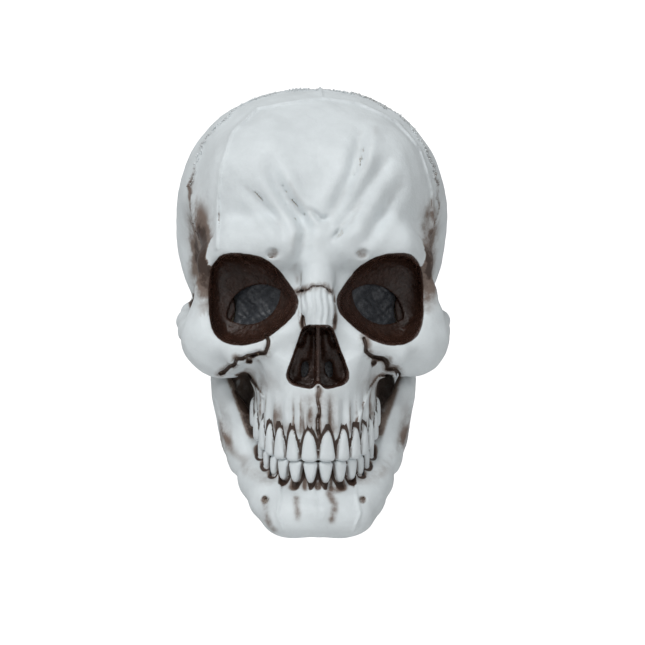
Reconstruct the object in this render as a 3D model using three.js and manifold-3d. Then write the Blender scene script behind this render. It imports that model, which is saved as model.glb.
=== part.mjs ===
// A full-head latex skull mask with a hinged lower jaw.
//
// The cranium and the jaw are two thin latex skins, teeth included. The jaw hangs on two snap rivets behind
// the cheek arches, a pair of elastics draws it shut, and the wearer's chin pushes it open from inside. Foam
// pads space the skin off the head, and dark mesh backs the eye and nostril holes.
//
// Millimetres, +Z up. The face looks along -Y, and the wearer's left side is +X. Every piece is drawn with
// z = 0 at the underside of the chin; the last lines move the origin to where the mask sits on the head.
import * as THREE from "three";
import { mergeVertices } from "three/addons/utils/BufferGeometryUtils.js";
import Module from "manifold-3d";

const wasm = await Module();
wasm.setup();

// ---- Driving dimensions ----
const HEIGHT = 250; // underside of the chin to the crown
const WALL = 1.7; // latex skin
const GAP = 0.3; // between glued or stacked pieces
const HEAD_MID_Y = 15; // where the cranium is widest, front to back
const RIM_Z = 62; // lower edge of the cranium skin, at the sides and nape
const SEAT = { y: 8, z: 236 }; // flat underside of the crown pad

const EYE = { x: 34, z: 126, halfWidth: 24.3, halfHeight: 22.6, mouthY: -84, floorY: -62, depth: 34 };
const EYE_HOLE = { halfWidth: 15, halfHeight: 9.5, slant: 0.5 };
const NOSE = { top: 113, bottom: 79.3, topHalf: 7.5, lobeHalf: 16.4, floorY: -79 };
const NOSTRIL = { x: 7.8, z: 90.5, halfWidth: 4, halfHeight: 6 };

const ARCH = { halfWidth: 33, depth: 51, midY: -45 }; // dental arch in plan, at the skin behind the teeth
const BITE = { z: 40.8, rise: 0.0105, frontY: -96, gap: 0.7 }; // the line where the tooth rows meet
const TOOTH_PITCH = 9.6;

const PIVOT = { y: -5, z: 117, pinRadius: 3, holeRadius: 3.3 };
const POCKET_X = 48.9; // the cranium's side wall, beside the pivot
const WASHER = { thickness: 1, radius: 7 };
const RAMUS = { x: POCKET_X + WASHER.thickness + 2 * GAP, thickness: 3 };
const RIVET = { flange: 1.5, flangeRadius: 7, capRadius: 6.5, capWall: 1.2, bite: 1.2 };
const ELASTIC = { width: 9, thickness: 1.2, travel: 31 };

// ---- Helpers ----
const clamp01 = (t) => Math.min(1, Math.max(0, t));
const smooth = (t) => clamp01(t) ** 2 * (3 - 2 * clamp01(t));
const signedPower = (value, power) => Math.sign(value) * Math.abs(value) ** power;

// A smooth curve through [position, value] pairs, read by position.
function profile(...pairs) {
  return (at) => {
    const last = pairs.length - 1;
    if (at <= pairs[0][0]) return pairs[0][1];
    if (at >= pairs[last][0]) return pairs[last][1];
    const i = pairs.findIndex(([position]) => position > at) - 1;
    const slope = (k) => {
      const [before, after] = [pairs[Math.max(0, k - 1)], pairs[Math.min(last, k + 1)]];
      return (after[1] - before[1]) / (after[0] - before[0]);
    };
    const span = pairs[i + 1][0] - pairs[i][0];
    const t = (at - pairs[i][0]) / span;
    const [t2, t3] = [t * t, t * t * t];
    return (
      (2 * t3 - 3 * t2 + 1) * pairs[i][1] +
      (t3 - 2 * t2 + t) * span * slope(i) +
      (3 * t2 - 2 * t3) * pairs[i + 1][1] +
      (t3 - t2) * span * slope(i + 1)
    );
  };
}

// Moves every vertex of a geometry to place(vertex).
function shaped(geometry, place) {
  const position = geometry.getAttribute("position");
  const vertex = new THREE.Vector3();
  for (let i = 0; i < position.count; i++) {
    const moved = place(vertex.fromBufferAttribute(position, i));
    position.setXYZ(i, moved[0], moved[1], moved[2]);
  }
  return geometry;
}

// A closed geometry as a solid that can be joined and cut.
function solid(geometry) {
  const bare = new THREE.BufferGeometry();
  bare.setAttribute("position", geometry.getAttribute("position"));
  if (geometry.index) bare.setIndex(geometry.index);
  const merged = mergeVertices(bare, 1e-4);
  const mesh = { numProp: 3, vertProperties: merged.attributes.position.array };
  const made = new wasm.Manifold(new wasm.Mesh({ ...mesh, triVerts: new Uint32Array(merged.index.array) }));
  if (made.volume() > 0) return made;
  const turned = Uint32Array.from(merged.index.array);
  for (let i = 0; i < turned.length; i += 3) [turned[i], turned[i + 1]] = [turned[i + 1], turned[i]];
  return new wasm.Manifold(new wasm.Mesh({ ...mesh, triVerts: turned }));
}

function geometryOf(made) {
  const mesh = made.getMesh();
  const geometry = new THREE.BufferGeometry();
  const points = new Float32Array(mesh.numVert * 3);
  for (let i = 0; i < mesh.numVert; i++) {
    points.set(mesh.vertProperties.subarray(i * mesh.numProp, i * mesh.numProp + 3), i * 3);
  }
  geometry.setAttribute("position", new THREE.BufferAttribute(points, 3));
  geometry.setIndex(new THREE.BufferAttribute(new Uint32Array(mesh.triVerts), 1));
  return geometry;
}

const join = (...solids) => solids.reduce((whole, next) => whole.add(next));
const mirrored = (make) => join(make(1), make(-1));

// A block between two corners.
function block([x0, y0, z0], [x1, y1, z1]) {
  const box = new THREE.BoxGeometry(Math.abs(x1 - x0), Math.abs(y1 - y0), Math.abs(z1 - z0));
  return solid(box.translate((x0 + x1) / 2, (y0 + y1) / 2, (z0 + z1) / 2));
}

// An outline drawn in x and z, extruded along y from y0 to y1.
function slab(outline, y0, y1, curveSegments = 10) {
  const extruded = new THREE.ExtrudeGeometry(outline, { depth: y1 - y0, bevelEnabled: false, curveSegments });
  return solid(extruded.rotateX(Math.PI / 2).translate(0, y1, 0));
}

// A round bar along x.
function bar(x0, x1, y, z, radius, sides = 20) {
  const cylinder = new THREE.CylinderGeometry(radius, radius, Math.abs(x1 - x0), sides);
  return solid(cylinder.rotateZ(Math.PI / 2).translate((x0 + x1) / 2, y, z));
}

// ---- Solid forms that the skins are cut from. Each one shrinks by its inset. ----
const vaultHalfWidth = profile([62, 57], [92, 58], [122, 67], [148, 77], [178, 81], [212, 72], [238, 48], [250, 6]);
const vaultFront = profile([62, -48], [92, -50], [122, -66], [148, -86], [178, -91], [212, -79], [238, -50], [250, 0]);
const vaultBack = profile([62, 72], [92, 76], [122, 85], [148, 94], [178, 98], [212, 88], [238, 61], [250, 12]);

// Braincase and nape, as one barrel of horizontal sections.
function vault(inset, floor = RIM_Z) {
  const rows = 11;
  const bottom = RIM_Z;
  const barrel = new THREE.CylinderGeometry(1, 1, 1, 30, rows);
  return solid(
    shaped(barrel, ({ x, y, z }) => {
      const up = Math.sin(((y + 0.5) * Math.PI) / 2) ** 0.85; // rows crowd together towards the crown
      const height = bottom + up * (HEIGHT - bottom);
      const radius = Math.hypot(x, z);
      const [across, along] = radius > 0 ? [x / radius, -z / radius] : [0, 0];
      const halfWidth = Math.max(2, vaultHalfWidth(height) - inset);
      const reach =
        along < 0
          ? HEAD_MID_Y - vaultFront(height) - inset
          : vaultBack(height) - HEAD_MID_Y - inset;
      const lowered = height - inset * smooth((height - 150) / (HEIGHT - 150));
      return [
        signedPower(across, 0.9) * halfWidth * radius,
        HEAD_MID_Y + signedPower(along, 0.92) * Math.max(2, reach) * radius,
        up < 1e-6 ? floor : lowered,
      ];
    }),
  );
}

const faceHalfWidth = profile(
  [78, 34], [84, 46], [88, 60], [94, 70], [104, 74], [114, 75], [123, 68], [132, 63], [146, 63], [156, 61], [166, 55], [178, 44],
);
const faceFront = profile([78, -90], [95, -88], [117, -87], [130, -86], [138, -87], [148, -94], [158, -94], [178, -90]);
const bridgeHeight = profile([84, 0], [110, 12], [118, 14], [128, 9], [138, 2], [146, 0]);

// Brow, cheekbones and the bridge of the nose, wrapped round the front of the head.
function face(inset) {
  const [bottom, top] = [78 + inset, 178 - inset];
  const sheet = new THREE.BoxGeometry(2, 2, 2, 14, 1, 12);
  return solid(
    shaped(sheet, ({ x, y, z }) => {
      const height = bottom + ((z + 1) / 2) * (top - bottom);
      const across = x * (faceHalfWidth(height) - inset);
      const front =
        faceFront(height) +
        0.0078 * across ** 2 +
        7 * Math.abs(x) ** 6 -
        bridgeHeight(height) * Math.exp(-((across / 9) ** 2));
      return [across, front + inset + ((y + 1) / 2) * (44 - inset), height];
    }),
  );
}

const biteHeight = (y) => BITE.z + BITE.rise * Math.max(0, y - BITE.frontY) ** 2;

// The upper jaw, standing on the bite line.
function muzzle(inset, drop = 0) {
  const top = 96;
  const drum = new THREE.CylinderGeometry(1, 1, 1, 32, 2);
  return solid(
    shaped(drum, ({ x, y, z }) => {
      const [across, along] = [x * (ARCH.halfWidth - inset), z * (ARCH.depth - inset)];
      const plan = ARCH.midY + along;
      const low = Math.min(biteHeight(plan) + BITE.gap / 2, top - 12) - drop;
      const up = y + 0.5;
      const swell = 1 + 0.06 * Math.sin(Math.PI * up);
      return [across * swell, ARCH.midY + along * swell, low + up * (top - inset - low)];
    }),
  );
}

// One cheek arch: an upright oval swept from the cheekbone back to the side of the head.
function cheekArch(side, inset) {
  const route = new THREE.CatmullRomCurve3(
    [
      [54, -58, 108],
      [66, -50, 110],
      [73.5, -34, 114],
      [75, -14, 119],
      [69, 4, 124],
      [58, 16, 127],
    ].map(([x, y, z]) => new THREE.Vector3(side * x, y, z)),
  );
  const section = new THREE.Shape().absellipse(0, 0, 6.5 - inset, 4 - inset, 0, 2 * Math.PI);
  const options = { extrudePath: route, steps: 9, bevelEnabled: false, curveSegments: 4 };
  return solid(new THREE.ExtrudeGeometry(section, options));
}

// Hollows that the skin dips into. Each one swells by its growth, for the back of the skin.
function eyeSocket(side, growth) {
  const bowl = new THREE.SphereGeometry(1, 20, 12);
  return solid(
    shaped(bowl, ({ x, y, z }) => {
      const [across, up] = [signedPower(x, 0.82), signedPower(z, 0.82)];
      const tilt = up > 0 ? 1 - 0.14 * side * across : 1 + 0.12 * side * across;
      const depth = EYE.mouthY + y * (EYE.depth + growth);
      return [
        side * EYE.x + across * (EYE.halfWidth + growth),
        Math.min(depth, EYE.floorY + growth) + 0.24 * (side * across) * EYE.halfWidth,
        EYE.z + up * (EYE.halfHeight + growth) * tilt,
      ];
    }),
  );
}

function templeHollow(side, growth) {
  const hollow = new THREE.SphereGeometry(1, 16, 10);
  return solid(
    shaped(hollow, ({ x, y, z }) => [
      side * 88 + x * (29 + growth),
      -38 + y * (30 + growth),
      142 + z * (42 + growth),
    ]),
  );
}

// Room for the ramus of the jaw beside the cranium's lower wall.
function ramusPocket(side, growth) {
  const inner = POCKET_X - growth;
  return block([side * (inner - 0.4), -52 - growth, RIM_Z - 20], [side * 100, 22 + growth, 104]).add(
    block([side * inner, -50.9, 90], [side * 66, 21 + growth, 127.3 + growth]),
  );
}

function noseOutline(growth) {
  const [top, low, half] = [NOSE.top + growth, NOSE.bottom - growth, NOSE.lobeHalf + growth];
  const outline = new THREE.Shape();
  outline.moveTo(0, top - 2);
  outline.lineTo(NOSE.topHalf + growth, top);
  outline.quadraticCurveTo(half - 4, low + 22, half, low + 10);
  outline.quadraticCurveTo(half + 0.5, low, half - 8, low);
  outline.quadraticCurveTo(3, low + 1, 0, low + 4);
  outline.quadraticCurveTo(-3, low + 1, 8 - half, low);
  outline.quadraticCurveTo(-half - 0.5, low, -half, low + 10);
  outline.quadraticCurveTo(4 - half, low + 22, -NOSE.topHalf - growth, top);
  return outline;
}

const nasalHollow = (growth) => slab(noseOutline(growth), -125, NOSE.floorY + growth, 5);

function almond(side, halfWidth, halfHeight) {
  const outline = new THREE.Shape();
  const [inner, outer] = [EYE.x - halfWidth, EYE.x + halfWidth].map((x) => side * x);
  const lift = EYE_HOLE.slant * halfWidth;
  outline.moveTo(inner, EYE.z + lift);
  outline.quadraticCurveTo(side * EYE.x, EYE.z + halfHeight * 1.7, outer, EYE.z - lift);
  outline.quadraticCurveTo(side * EYE.x, EYE.z - halfHeight * 1.7, inner, EYE.z + lift);
  return outline;
}

function nostril(side, halfWidth, halfHeight) {
  return new THREE.Shape().absellipse(side * NOSTRIL.x, NOSTRIL.z, halfWidth, halfHeight, 0, 2 * Math.PI);
}

// ---- Teeth ----
// A tooth is a drum that narrows from its biting edge to its neck.
function tooth(side, index, edge, neck, outward) {
  const travel = (index + 0.5) * TOOTH_PITCH;
  const turn = travel / (ARCH.halfWidth * 1.22);
  const [sin, cos] = [Math.sin(turn), Math.cos(turn)];
  const centre = [side * (ARCH.halfWidth + outward) * sin, ARCH.midY - (ARCH.depth + outward) * cos];
  const facing = Math.atan2(ARCH.depth * sin, ARCH.halfWidth * cos);
  const drum = new THREE.CylinderGeometry(1, 1, 1, 6, 1);
  return solid(
    shaped(drum, ({ x, y, z }) => {
      const up = y + 0.5;
      const broad = 4.3 - 1.7 * up;
      const [across, out] = [x * broad, z * (2.9 - 0.5 * up)];
      const plan = centre[1] + across * Math.sin(facing) + out * Math.cos(facing);
      return [
        centre[0] + side * (across * Math.cos(facing) - out * Math.sin(facing)),
        plan,
        biteHeight(plan) + edge + up * (neck - edge),
      ];
    }),
  );
}

const toothRow = (count, edge, neck, outward) =>
  mirrored((side) => join(...Array.from({ length: count }, (_, i) => tooth(side, i, edge, neck, outward))));

// ---- Cranium skin ----
function craniumShell() {
  const outer = join(vault(0), face(0), muzzle(0), mirrored((side) => cheekArch(side, 0)));
  const inner = join(
    vault(WALL, RIM_Z - 12),
    face(WALL),
    muzzle(WALL, 14),
    mirrored((side) => cheekArch(side, WALL)),
  );
  const hollows = (growth) =>
    join(
      mirrored((side) => eyeSocket(side, growth)),
      mirrored((side) => templeHollow(side, growth)),
      mirrored((side) => ramusPocket(side, growth)),
      nasalHollow(growth),
    );
  const septum = block([-1, -96, NOSE.bottom - 0.5], [1.2, NOSE.floorY + 1, NOSE.top + 1]);
  const holes = mirrored((side) =>
    join(
      slab(almond(side, EYE_HOLE.halfWidth, EYE_HOLE.halfHeight), -84, -40, 5),
      slab(nostril(side, NOSTRIL.halfWidth, NOSTRIL.halfHeight), -90, -60, 3),
      bar(side * 40, side * 60, PIVOT.y, PIVOT.z, PIVOT.holeRadius, 12),
    ),
  );
  const skin = outer.subtract(hollows(0)).subtract(inner.subtract(hollows(WALL)));
  return skin.add(septum).add(toothRow(7, BITE.gap / 2, 15.5, 0.6)).subtract(holes);
}

// ---- Jaw ----
const jawBulge = profile([0, -14], [0.2, -3], [0.45, 6], [0.75, 4], [1, 0]);
const jawUnderside = profile([-104, 0], [-92, 0], [-70, 12], [-45, 28], [-20, 42]);

// The body of the jaw, from under the chin to the lower gums.
function jawBody(inset, overTop = 0) {
  const drum = new THREE.CylinderGeometry(1, 1, 1, 32, 6);
  return solid(
    shaped(drum, ({ x, y, z }) => {
      const plan = ARCH.midY + z * (z < 0 ? ARCH.depth : 24 + inset * 6);
      const [low, high] = [jawUnderside(plan), Math.min(biteHeight(plan) - 9.5, 56)];
      const height = low + inset + (y + 0.5) * (high + overTop - low - inset);
      const up = clamp01((height - low) / (high - low));
      const bulge = jawBulge(up) - inset;
      const across = z > 0 ? signedPower(x, 0.4) : x;
      const flare = 9 * Math.sin(Math.PI * up) * smooth(z + 1) + 19 * smooth(Math.max(0, z) * 1.3);
      return [
        across * (ARCH.halfWidth + bulge + flare),
        plan + Math.min(0, z) * bulge,
        height,
      ];
    }),
  );
}

// One upright of the jaw: a plate that flares out below the cheek arch, with a round eye for its rivet.
const ramusFront = profile([34, -50], [50, -50], [62, -42], [82, -37], [94, -31], [104, -15], [117, -14]);
const ramusRear = profile([34, -46], [40, -27], [48, -15], [62, -6], [78, -1], [98, 3], [117, 4]);
const ramusFlare = profile([34, 1], [52, 3], [72, 6], [88, 4.6], [98, 1], [104, 0], [110, 0], [130, 0]);

function ramus(side) {
  const sheet = new THREE.BoxGeometry(1, 2, 1, 1, 2, 14);
  const plate = shaped(sheet, ({ x, y, z }) => {
    const height = 34 + (z + 0.5) * (PIVOT.z - 34);
    const [front, rear] = [ramusFront(height), ramusRear(height)];
    const out = RAMUS.x + 0.1 + (x + 0.5) * (RAMUS.thickness - 0.1) + ramusFlare(height);
    return [side * out, front + ((y + 1) / 2) * (rear - front), height];
  });
  const outside = side * (RAMUS.x + RAMUS.thickness + 0.1);
  return solid(plate).add(bar(side * RAMUS.x, outside, PIVOT.y, PIVOT.z, 9, 24));
}

function jawShell() {
  const throat = new THREE.CylinderGeometry(1, 1, 60, 24).rotateX(Math.PI / 2).scale(26, 34, 1);
  const body = jawBody(0)
    .subtract(jawBody(WALL, 12))
    .subtract(solid(throat.translate(0, -44, 20)));
  const eyes = mirrored((side) => bar(side * 45, side * 62, PIVOT.y, PIVOT.z, PIVOT.holeRadius, 16));
  return body
    .add(mirrored(ramus))
    .add(toothRow(6, -BITE.gap / 2, -13, -1.6))
    .subtract(eyes);
}

// ---- Rivets, one on each side ----
function pivotPost(side) {
  const inner = POCKET_X - WALL - GAP - RIVET.flange;
  const flange = bar(side * inner, side * (inner + RIVET.flange), PIVOT.y, PIVOT.z, RIVET.flangeRadius, 24);
  const tip = RAMUS.x + RAMUS.thickness + GAP + RIVET.bite;
  return flange.add(bar(side * (inner + 0.5), side * tip, PIVOT.y, PIVOT.z, PIVOT.pinRadius, 24));
}

function pivotWasher(side) {
  const [from, to] = [POCKET_X + GAP, POCKET_X + GAP + WASHER.thickness];
  const disc = bar(side * from, side * to, PIVOT.y, PIVOT.z, WASHER.radius, 24);
  return disc.subtract(bar(side * (from - 1), side * (to + 1), PIVOT.y, PIVOT.z, PIVOT.holeRadius, 24));
}

function pivotCap(side) {
  const from = RAMUS.x + RAMUS.thickness + GAP;
  const bore = from + RIVET.bite + GAP;
  const disc = bar(side * from, side * (bore + RIVET.capWall), PIVOT.y, PIVOT.z, RIVET.capRadius, 24);
  return disc.subtract(bar(side * (from - 1), side * bore, PIVOT.y, PIVOT.z, PIVOT.holeRadius, 24));
}

// ---- Soft parts ----
// A foam pad that follows the inside of the braincase.
function pad(thickness, low, high) {
  return vault(WALL + GAP)
    .subtract(vault(WALL + GAP + thickness, RIM_Z - 12))
    .intersect(block(low, high));
}

const crownPad = () =>
  vault(WALL + 2 * GAP).intersect(block([-36, SEAT.y - 38, SEAT.z], [36, SEAT.y + 38, HEIGHT]));
const foreheadPad = () => pad(9, [-42, -100, 184], [42, -40, 210]);
const templePad = (side) => pad(8, [side * 40, 2, 168], [side * 90, 46, 206]);
const napePad = () => pad(8, [-34, 60, 124], [34, 110, 152]);
const chinPad = () => jawBody(WALL + 2).intersect(block([-24, -100, 0], [24, -76, 17]));

// Dark mesh behind an eye hole.
function eyeMesh(side) {
  const sheet = new THREE.BoxGeometry(34, 1, 27, 6, 1, 1);
  const lean = (0.24 * EYE.halfWidth) / (EYE.halfWidth + WALL);
  return solid(
    shaped(sheet, ({ x, y, z }) => [
      side * (EYE.x + x),
      EYE.floorY + WALL + GAP + 0.6 + y + lean * x,
      EYE.z + z,
    ]),
  );
}

const noseMesh = () =>
  block([-14, NOSE.floorY + WALL + GAP, 82], [14, NOSE.floorY + WALL + GAP + 1, 99]);

// An elastic band inside the corner of the mouth, from the upper jaw to the lower.
function jawElastic(side) {
  const turn = ELASTIC.travel / (ARCH.halfWidth * 1.22);
  const [sin, cos] = [Math.sin(turn), Math.cos(turn)];
  const depthAt = profile([24, 0.5], [30, 5.5], [36, 8.5], [46, 8], [56, 6.5], [64, 3.4]);
  const band = new THREE.BoxGeometry(ELASTIC.width, ELASTIC.thickness, 40, 1, 1, 10);
  return solid(
    shaped(band, ({ x, y, z }) => {
      const height = 44 + z;
      const inward = depthAt(height) - y;
      return [
        side * ((ARCH.halfWidth - inward) * sin + x * cos),
        ARCH.midY - (ARCH.depth - inward) * cos + x * sin,
        height,
      ];
    }),
  );
}

// ---- Assembly ----
const LATEX = { color: 0xd9e0e3, roughness: 0.62, metalness: 0 };
const FOAM = { color: 0x3a3a3c, roughness: 0.95, metalness: 0 };
const MESH = { color: 0x1d1f22, roughness: 0.7, metalness: 0 };
const NYLON = { color: 0xe6e2d8, roughness: 0.4, metalness: 0 };
const ELASTANE = { color: 0xe9e6df, roughness: 0.9, metalness: 0 };

const mask = new THREE.Group();
mask.name = "skull_mask";

function place(name, made, finish) {
  const mesh = new THREE.Mesh(geometryOf(made), new THREE.MeshStandardMaterial(finish));
  mesh.name = name;
  mask.add(mesh);
}

place("cranium_shell", craniumShell(), LATEX);
place("jaw_shell", jawShell(), LATEX);
place("crown_pad", crownPad(), FOAM);
place("forehead_pad", foreheadPad(), FOAM);
place("nape_pad", napePad(), FOAM);
place("chin_pad", chinPad(), FOAM);
place("nose_mesh", noseMesh(), MESH);
for (const [hand, side] of [["left", 1], ["right", -1]]) {
  place(`temple_pad_${hand}`, templePad(side), FOAM);
  place(`eye_mesh_${hand}`, eyeMesh(side), MESH);
  place(`pivot_post_${hand}`, pivotPost(side), NYLON);
  place(`pivot_washer_${hand}`, pivotWasher(side), NYLON);
  place(`pivot_cap_${hand}`, pivotCap(side), NYLON);
  place(`jaw_elastic_${hand}`, jawElastic(side), ELASTANE);
}
mask.position.set(0, -SEAT.y, -SEAT.z);

export default mask;
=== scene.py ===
"""Looks for a full-head latex skull mask with a hinged lower jaw, built round its CAD frame.

The two latex skins are sculpted as distance fields: smooth lumps and hollows are joined, creases and pits are
pressed in, and the surface is then drawn over the result. Each skin keeps a few painted-on attributes, such as
how far a point lies from a crack, which the paint materials read. Distances in the sculpture are millimetres
above the underside of the chin, with the face looking along -Y and the wearer's left side at +X.
"""

import math

import bmesh
import bpy
import numpy as np
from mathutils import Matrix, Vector


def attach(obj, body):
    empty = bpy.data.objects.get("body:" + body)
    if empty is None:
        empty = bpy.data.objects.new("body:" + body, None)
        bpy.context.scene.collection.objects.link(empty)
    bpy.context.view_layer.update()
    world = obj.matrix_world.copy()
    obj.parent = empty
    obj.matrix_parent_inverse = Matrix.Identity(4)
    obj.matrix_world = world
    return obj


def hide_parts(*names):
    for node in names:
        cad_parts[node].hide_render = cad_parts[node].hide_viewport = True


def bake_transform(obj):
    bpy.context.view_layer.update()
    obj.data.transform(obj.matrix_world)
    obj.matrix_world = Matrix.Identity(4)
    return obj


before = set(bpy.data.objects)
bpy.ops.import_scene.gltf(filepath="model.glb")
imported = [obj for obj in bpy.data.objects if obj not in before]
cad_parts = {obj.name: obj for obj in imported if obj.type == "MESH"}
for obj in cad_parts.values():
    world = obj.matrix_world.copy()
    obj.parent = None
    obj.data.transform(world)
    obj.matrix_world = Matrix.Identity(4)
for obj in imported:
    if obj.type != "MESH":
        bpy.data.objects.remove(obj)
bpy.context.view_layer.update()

bl_info = {
    "name": "Latex skull mask",
    "version": (1, 0, 0),
    "blender": (4, 5, 0),
    "location": "View3D > Sidebar > Skull mask",
    "description": "Sculpts and paints a latex skull mask round its frame",
    "category": "Object",
}

SEAT = np.array((0.0, 8.0, 236.0))  # where the mask's origin lies in the sculpture
PIVOT = (-5.0, 117.0)  # y and z of the jaw's rivets
ARCH = {"x": 33.0, "y": 51.0, "mid": -45.0}  # plan of the dental arch
ROOT_PITCH = 8.1  # along the arch, from one tooth's root to the next
WALL = 2.0  # thickness of the latex
RIVET_HOLE = 3.3  # radius
SOCKET_RADIUS = 22.5
SOCKET_DEPTH = 18.5
EYE_HOLE = (34.5, 124.5)  # x and z of its middle, on the left
CHIN_PITS = (-28.5, 24)  # x of each, all at CHIN_PIT_HEIGHT
CHIN_PIT_HEIGHT = 19
CROWN = 160  # height that angles along the coronal suture are measured about
SIDES = ((-1, "right"), (1, "left"))


# ---------------------------------------------------------------------------------------------------------
# Distance-field modelling
# ---------------------------------------------------------------------------------------------------------
class Lattice:
    """A block of sample points whose spacing may change along each axis."""

    def __init__(self, xs, ys, zs):
        self.axes = [np.asarray(a, np.float32) for a in (xs, ys, zs)]
        self.shape = tuple(len(a) for a in self.axes)

    def region(self, low, high):
        cuts = []
        for axis, lo, hi in zip(self.axes, low, high):
            cuts.append(slice(int(np.searchsorted(axis, lo)), int(np.searchsorted(axis, hi))))
        x, y, z = (axis[cut] for axis, cut in zip(self.axes, cuts))
        return tuple(cuts), x[:, None, None], y[None, :, None], z[None, None, :]


class Cloud:
    """Loose sample points, such as a mesh's vertices."""

    def __init__(self, points):
        self.points = np.asarray(points, np.float32)
        self.shape = (len(points),)

    def region(self, low, high):
        inside = np.all((self.points >= np.asarray(low)) & (self.points < np.asarray(high)), axis=1)
        chosen = np.nonzero(inside)[0]
        x, y, z = self.points[chosen].T
        return chosen, x, y, z


EVERYWHERE = ((-1e3,) * 3, (1e3,) * 3)


def smooth_min(a, b, blend):
    mix = np.clip(0.5 + 0.5 * (b - a) / blend, 0, 1)
    return b + (a - b) * mix - blend * mix * (1 - mix)


def smooth_max(a, b, blend):
    return -smooth_min(-a, -b, blend)


def step(low, high, value):
    t = np.clip((value - low) / (high - low), 0, 1)
    return t * t * (3 - 2 * t)


def bell(value, width, power=2):
    """1 where the value is 0, falling smoothly towards 0 either side of it."""
    return np.exp(-((value / width) ** power))


def ellipsoid(centre, radii, power=2.0):
    def field(x, y, z):
        scaled = [abs(v - c) / r for v, c, r in zip((x, y, z), centre, radii)]
        if power != 2.0:
            return (sum(s**power for s in scaled) ** (1 / power) - 1) * min(radii)
        size = np.sqrt(sum(s * s for s in scaled))
        slope = np.sqrt(sum((s / r) ** 2 for s, r in zip(scaled, radii)))
        return size * (size - 1) / np.maximum(slope, 1e-4)

    return field


def rod(start, end, start_radius, end_radius):
    """A rounded rod between two points."""
    a, b = np.array(start, float), np.array(end, float)
    along = b - a

    def field(x, y, z):
        t = ((x - a[0]) * along[0] + (y - a[1]) * along[1] + (z - a[2]) * along[2]) / (along @ along)
        t = np.clip(t, 0, 1)
        gap = (x - a[0] - t * along[0]) ** 2 + (y - a[1] - t * along[1]) ** 2 + (z - a[2] - t * along[2]) ** 2
        return np.sqrt(gap) - (start_radius + t * (end_radius - start_radius))

    return field


def block(low, high):
    low, high = np.array(low, float), np.array(high, float)

    def field(x, y, z):
        outside = [np.maximum(lo - v, v - hi) for v, lo, hi in zip((x, y, z), low, high)]
        deepest = np.maximum(np.maximum(outside[0], outside[1]), outside[2])
        corner = np.sqrt(sum(np.maximum(o, 0) ** 2 for o in outside))
        return np.minimum(deepest, 0) + corner

    return field


class Sculpture:
    """An ordered list of lumps to join and hollows to cut."""

    def __init__(self):
        self.strokes = []

    def join(self, shape, blend, low=EVERYWHERE[0], high=EVERYWHERE[1], both_sides=True):
        self.strokes.append((smooth_min, 1, shape, blend, low, high, both_sides))

    def cut(self, shape, blend, low=EVERYWHERE[0], high=EVERYWHERE[1], both_sides=True):
        self.strokes.append((smooth_max, -1, shape, blend, low, high, both_sides))

    def chain(self, points, radii, blend, both_sides=True):
        for a, b, ra, rb in zip(points, points[1:], radii, radii[1:]):
            reach = max(ra, rb) + blend + 2
            low = [min(p, q) - reach for p, q in zip(a, b)]
            high = [max(p, q) + reach for p, q in zip(a, b)]
            self.join(rod(a, b, ra, rb), blend, low, high, both_sides)

    def field(self, space, start=None):
        value = np.full(space.shape, 60.0, np.float32) if start is None else start
        for mix, sign, shape, blend, low, high, both_sides in self.strokes:
            for side in (1, -1) if both_sides and low[0] > 0 else (0,):
                if side:
                    ends = sorted((side * low[0], side * high[0]))
                    low_here, high_here = (ends[0], *low[1:]), (ends[1], *high[1:])
                elif both_sides and low[0] > -1e3:
                    low_here, high_here = (-high[0], *low[1:]), high
                else:
                    low_here, high_here = low, high
                where, x, y, z = space.region(low_here, high_here)
                if value[where].size:
                    across = abs(x) if both_sides else x
                    value[where] = mix(value[where], sign * shape(across, y, z), blend)
        return value


def draw_surface(space, value):
    """The zero surface of a field over a lattice, as vertices and quads."""
    xs, ys, zs = space.axes
    inside = value < 0
    cells = tuple(n - 1 for n in value.shape)
    total = int(np.prod(cells))
    sums, counts = np.zeros((total, 3)), np.zeros(total)
    edges = []
    for axis in range(3):
        near = [slice(None)] * 3
        far = [slice(None)] * 3
        near[axis], far[axis] = slice(0, -1), slice(1, None)
        near, far = tuple(near), tuple(far)
        at = np.argwhere(inside[near] != inside[far])
        first = value[near][tuple(at.T)]
        second = value[far][tuple(at.T)]
        t = first / (first - second)
        points = np.stack([xs[at[:, 0]], ys[at[:, 1]], zs[at[:, 2]]], 1).astype(float)
        line = space.axes[axis]
        points[:, axis] += t * (line[at[:, axis] + 1] - line[at[:, axis]])
        others = [a for a in range(3) if a != axis]
        around = []
        for da, db in ((0, 0), (1, 0), (1, 1), (0, 1)):
            cell = at.copy()
            cell[:, others[0]] -= da
            cell[:, others[1]] -= db
            around.append(cell)
        safe = np.all([np.all((c >= 0) & (c < np.array(cells)), axis=1) for c in around], axis=0)
        index = [np.ravel_multi_index(c[safe].T, cells) for c in around]
        for i in index:
            for column in range(3):
                sums[:, column] += np.bincount(i, points[safe, column], total)
            counts += np.bincount(i, minlength=total)
        quad = np.stack(index, 1)
        flip = (first[safe] < 0) == (axis == 1)
        quad[flip] = quad[flip][:, ::-1]
        edges.append(quad)
    used = np.nonzero(counts)[0]
    number = np.full(total, -1)
    number[used] = np.arange(len(used))
    return sums[used] / counts[used, None], number[np.concatenate(edges)]


def linked_object(name, data):
    obj = bpy.data.objects.new(name, data)
    bpy.context.collection.objects.link(obj)
    return obj


def mesh_object(name, points, faces=(), edges=()):
    """A mesh from sculpture millimetres, moved into the mask's own frame in metres."""
    mesh = bpy.data.meshes.new(name)
    mesh.from_pydata(((np.asarray(points) - SEAT) / 1000).tolist(), edges, faces)
    mesh.validate()
    return linked_object(name, mesh)


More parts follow.
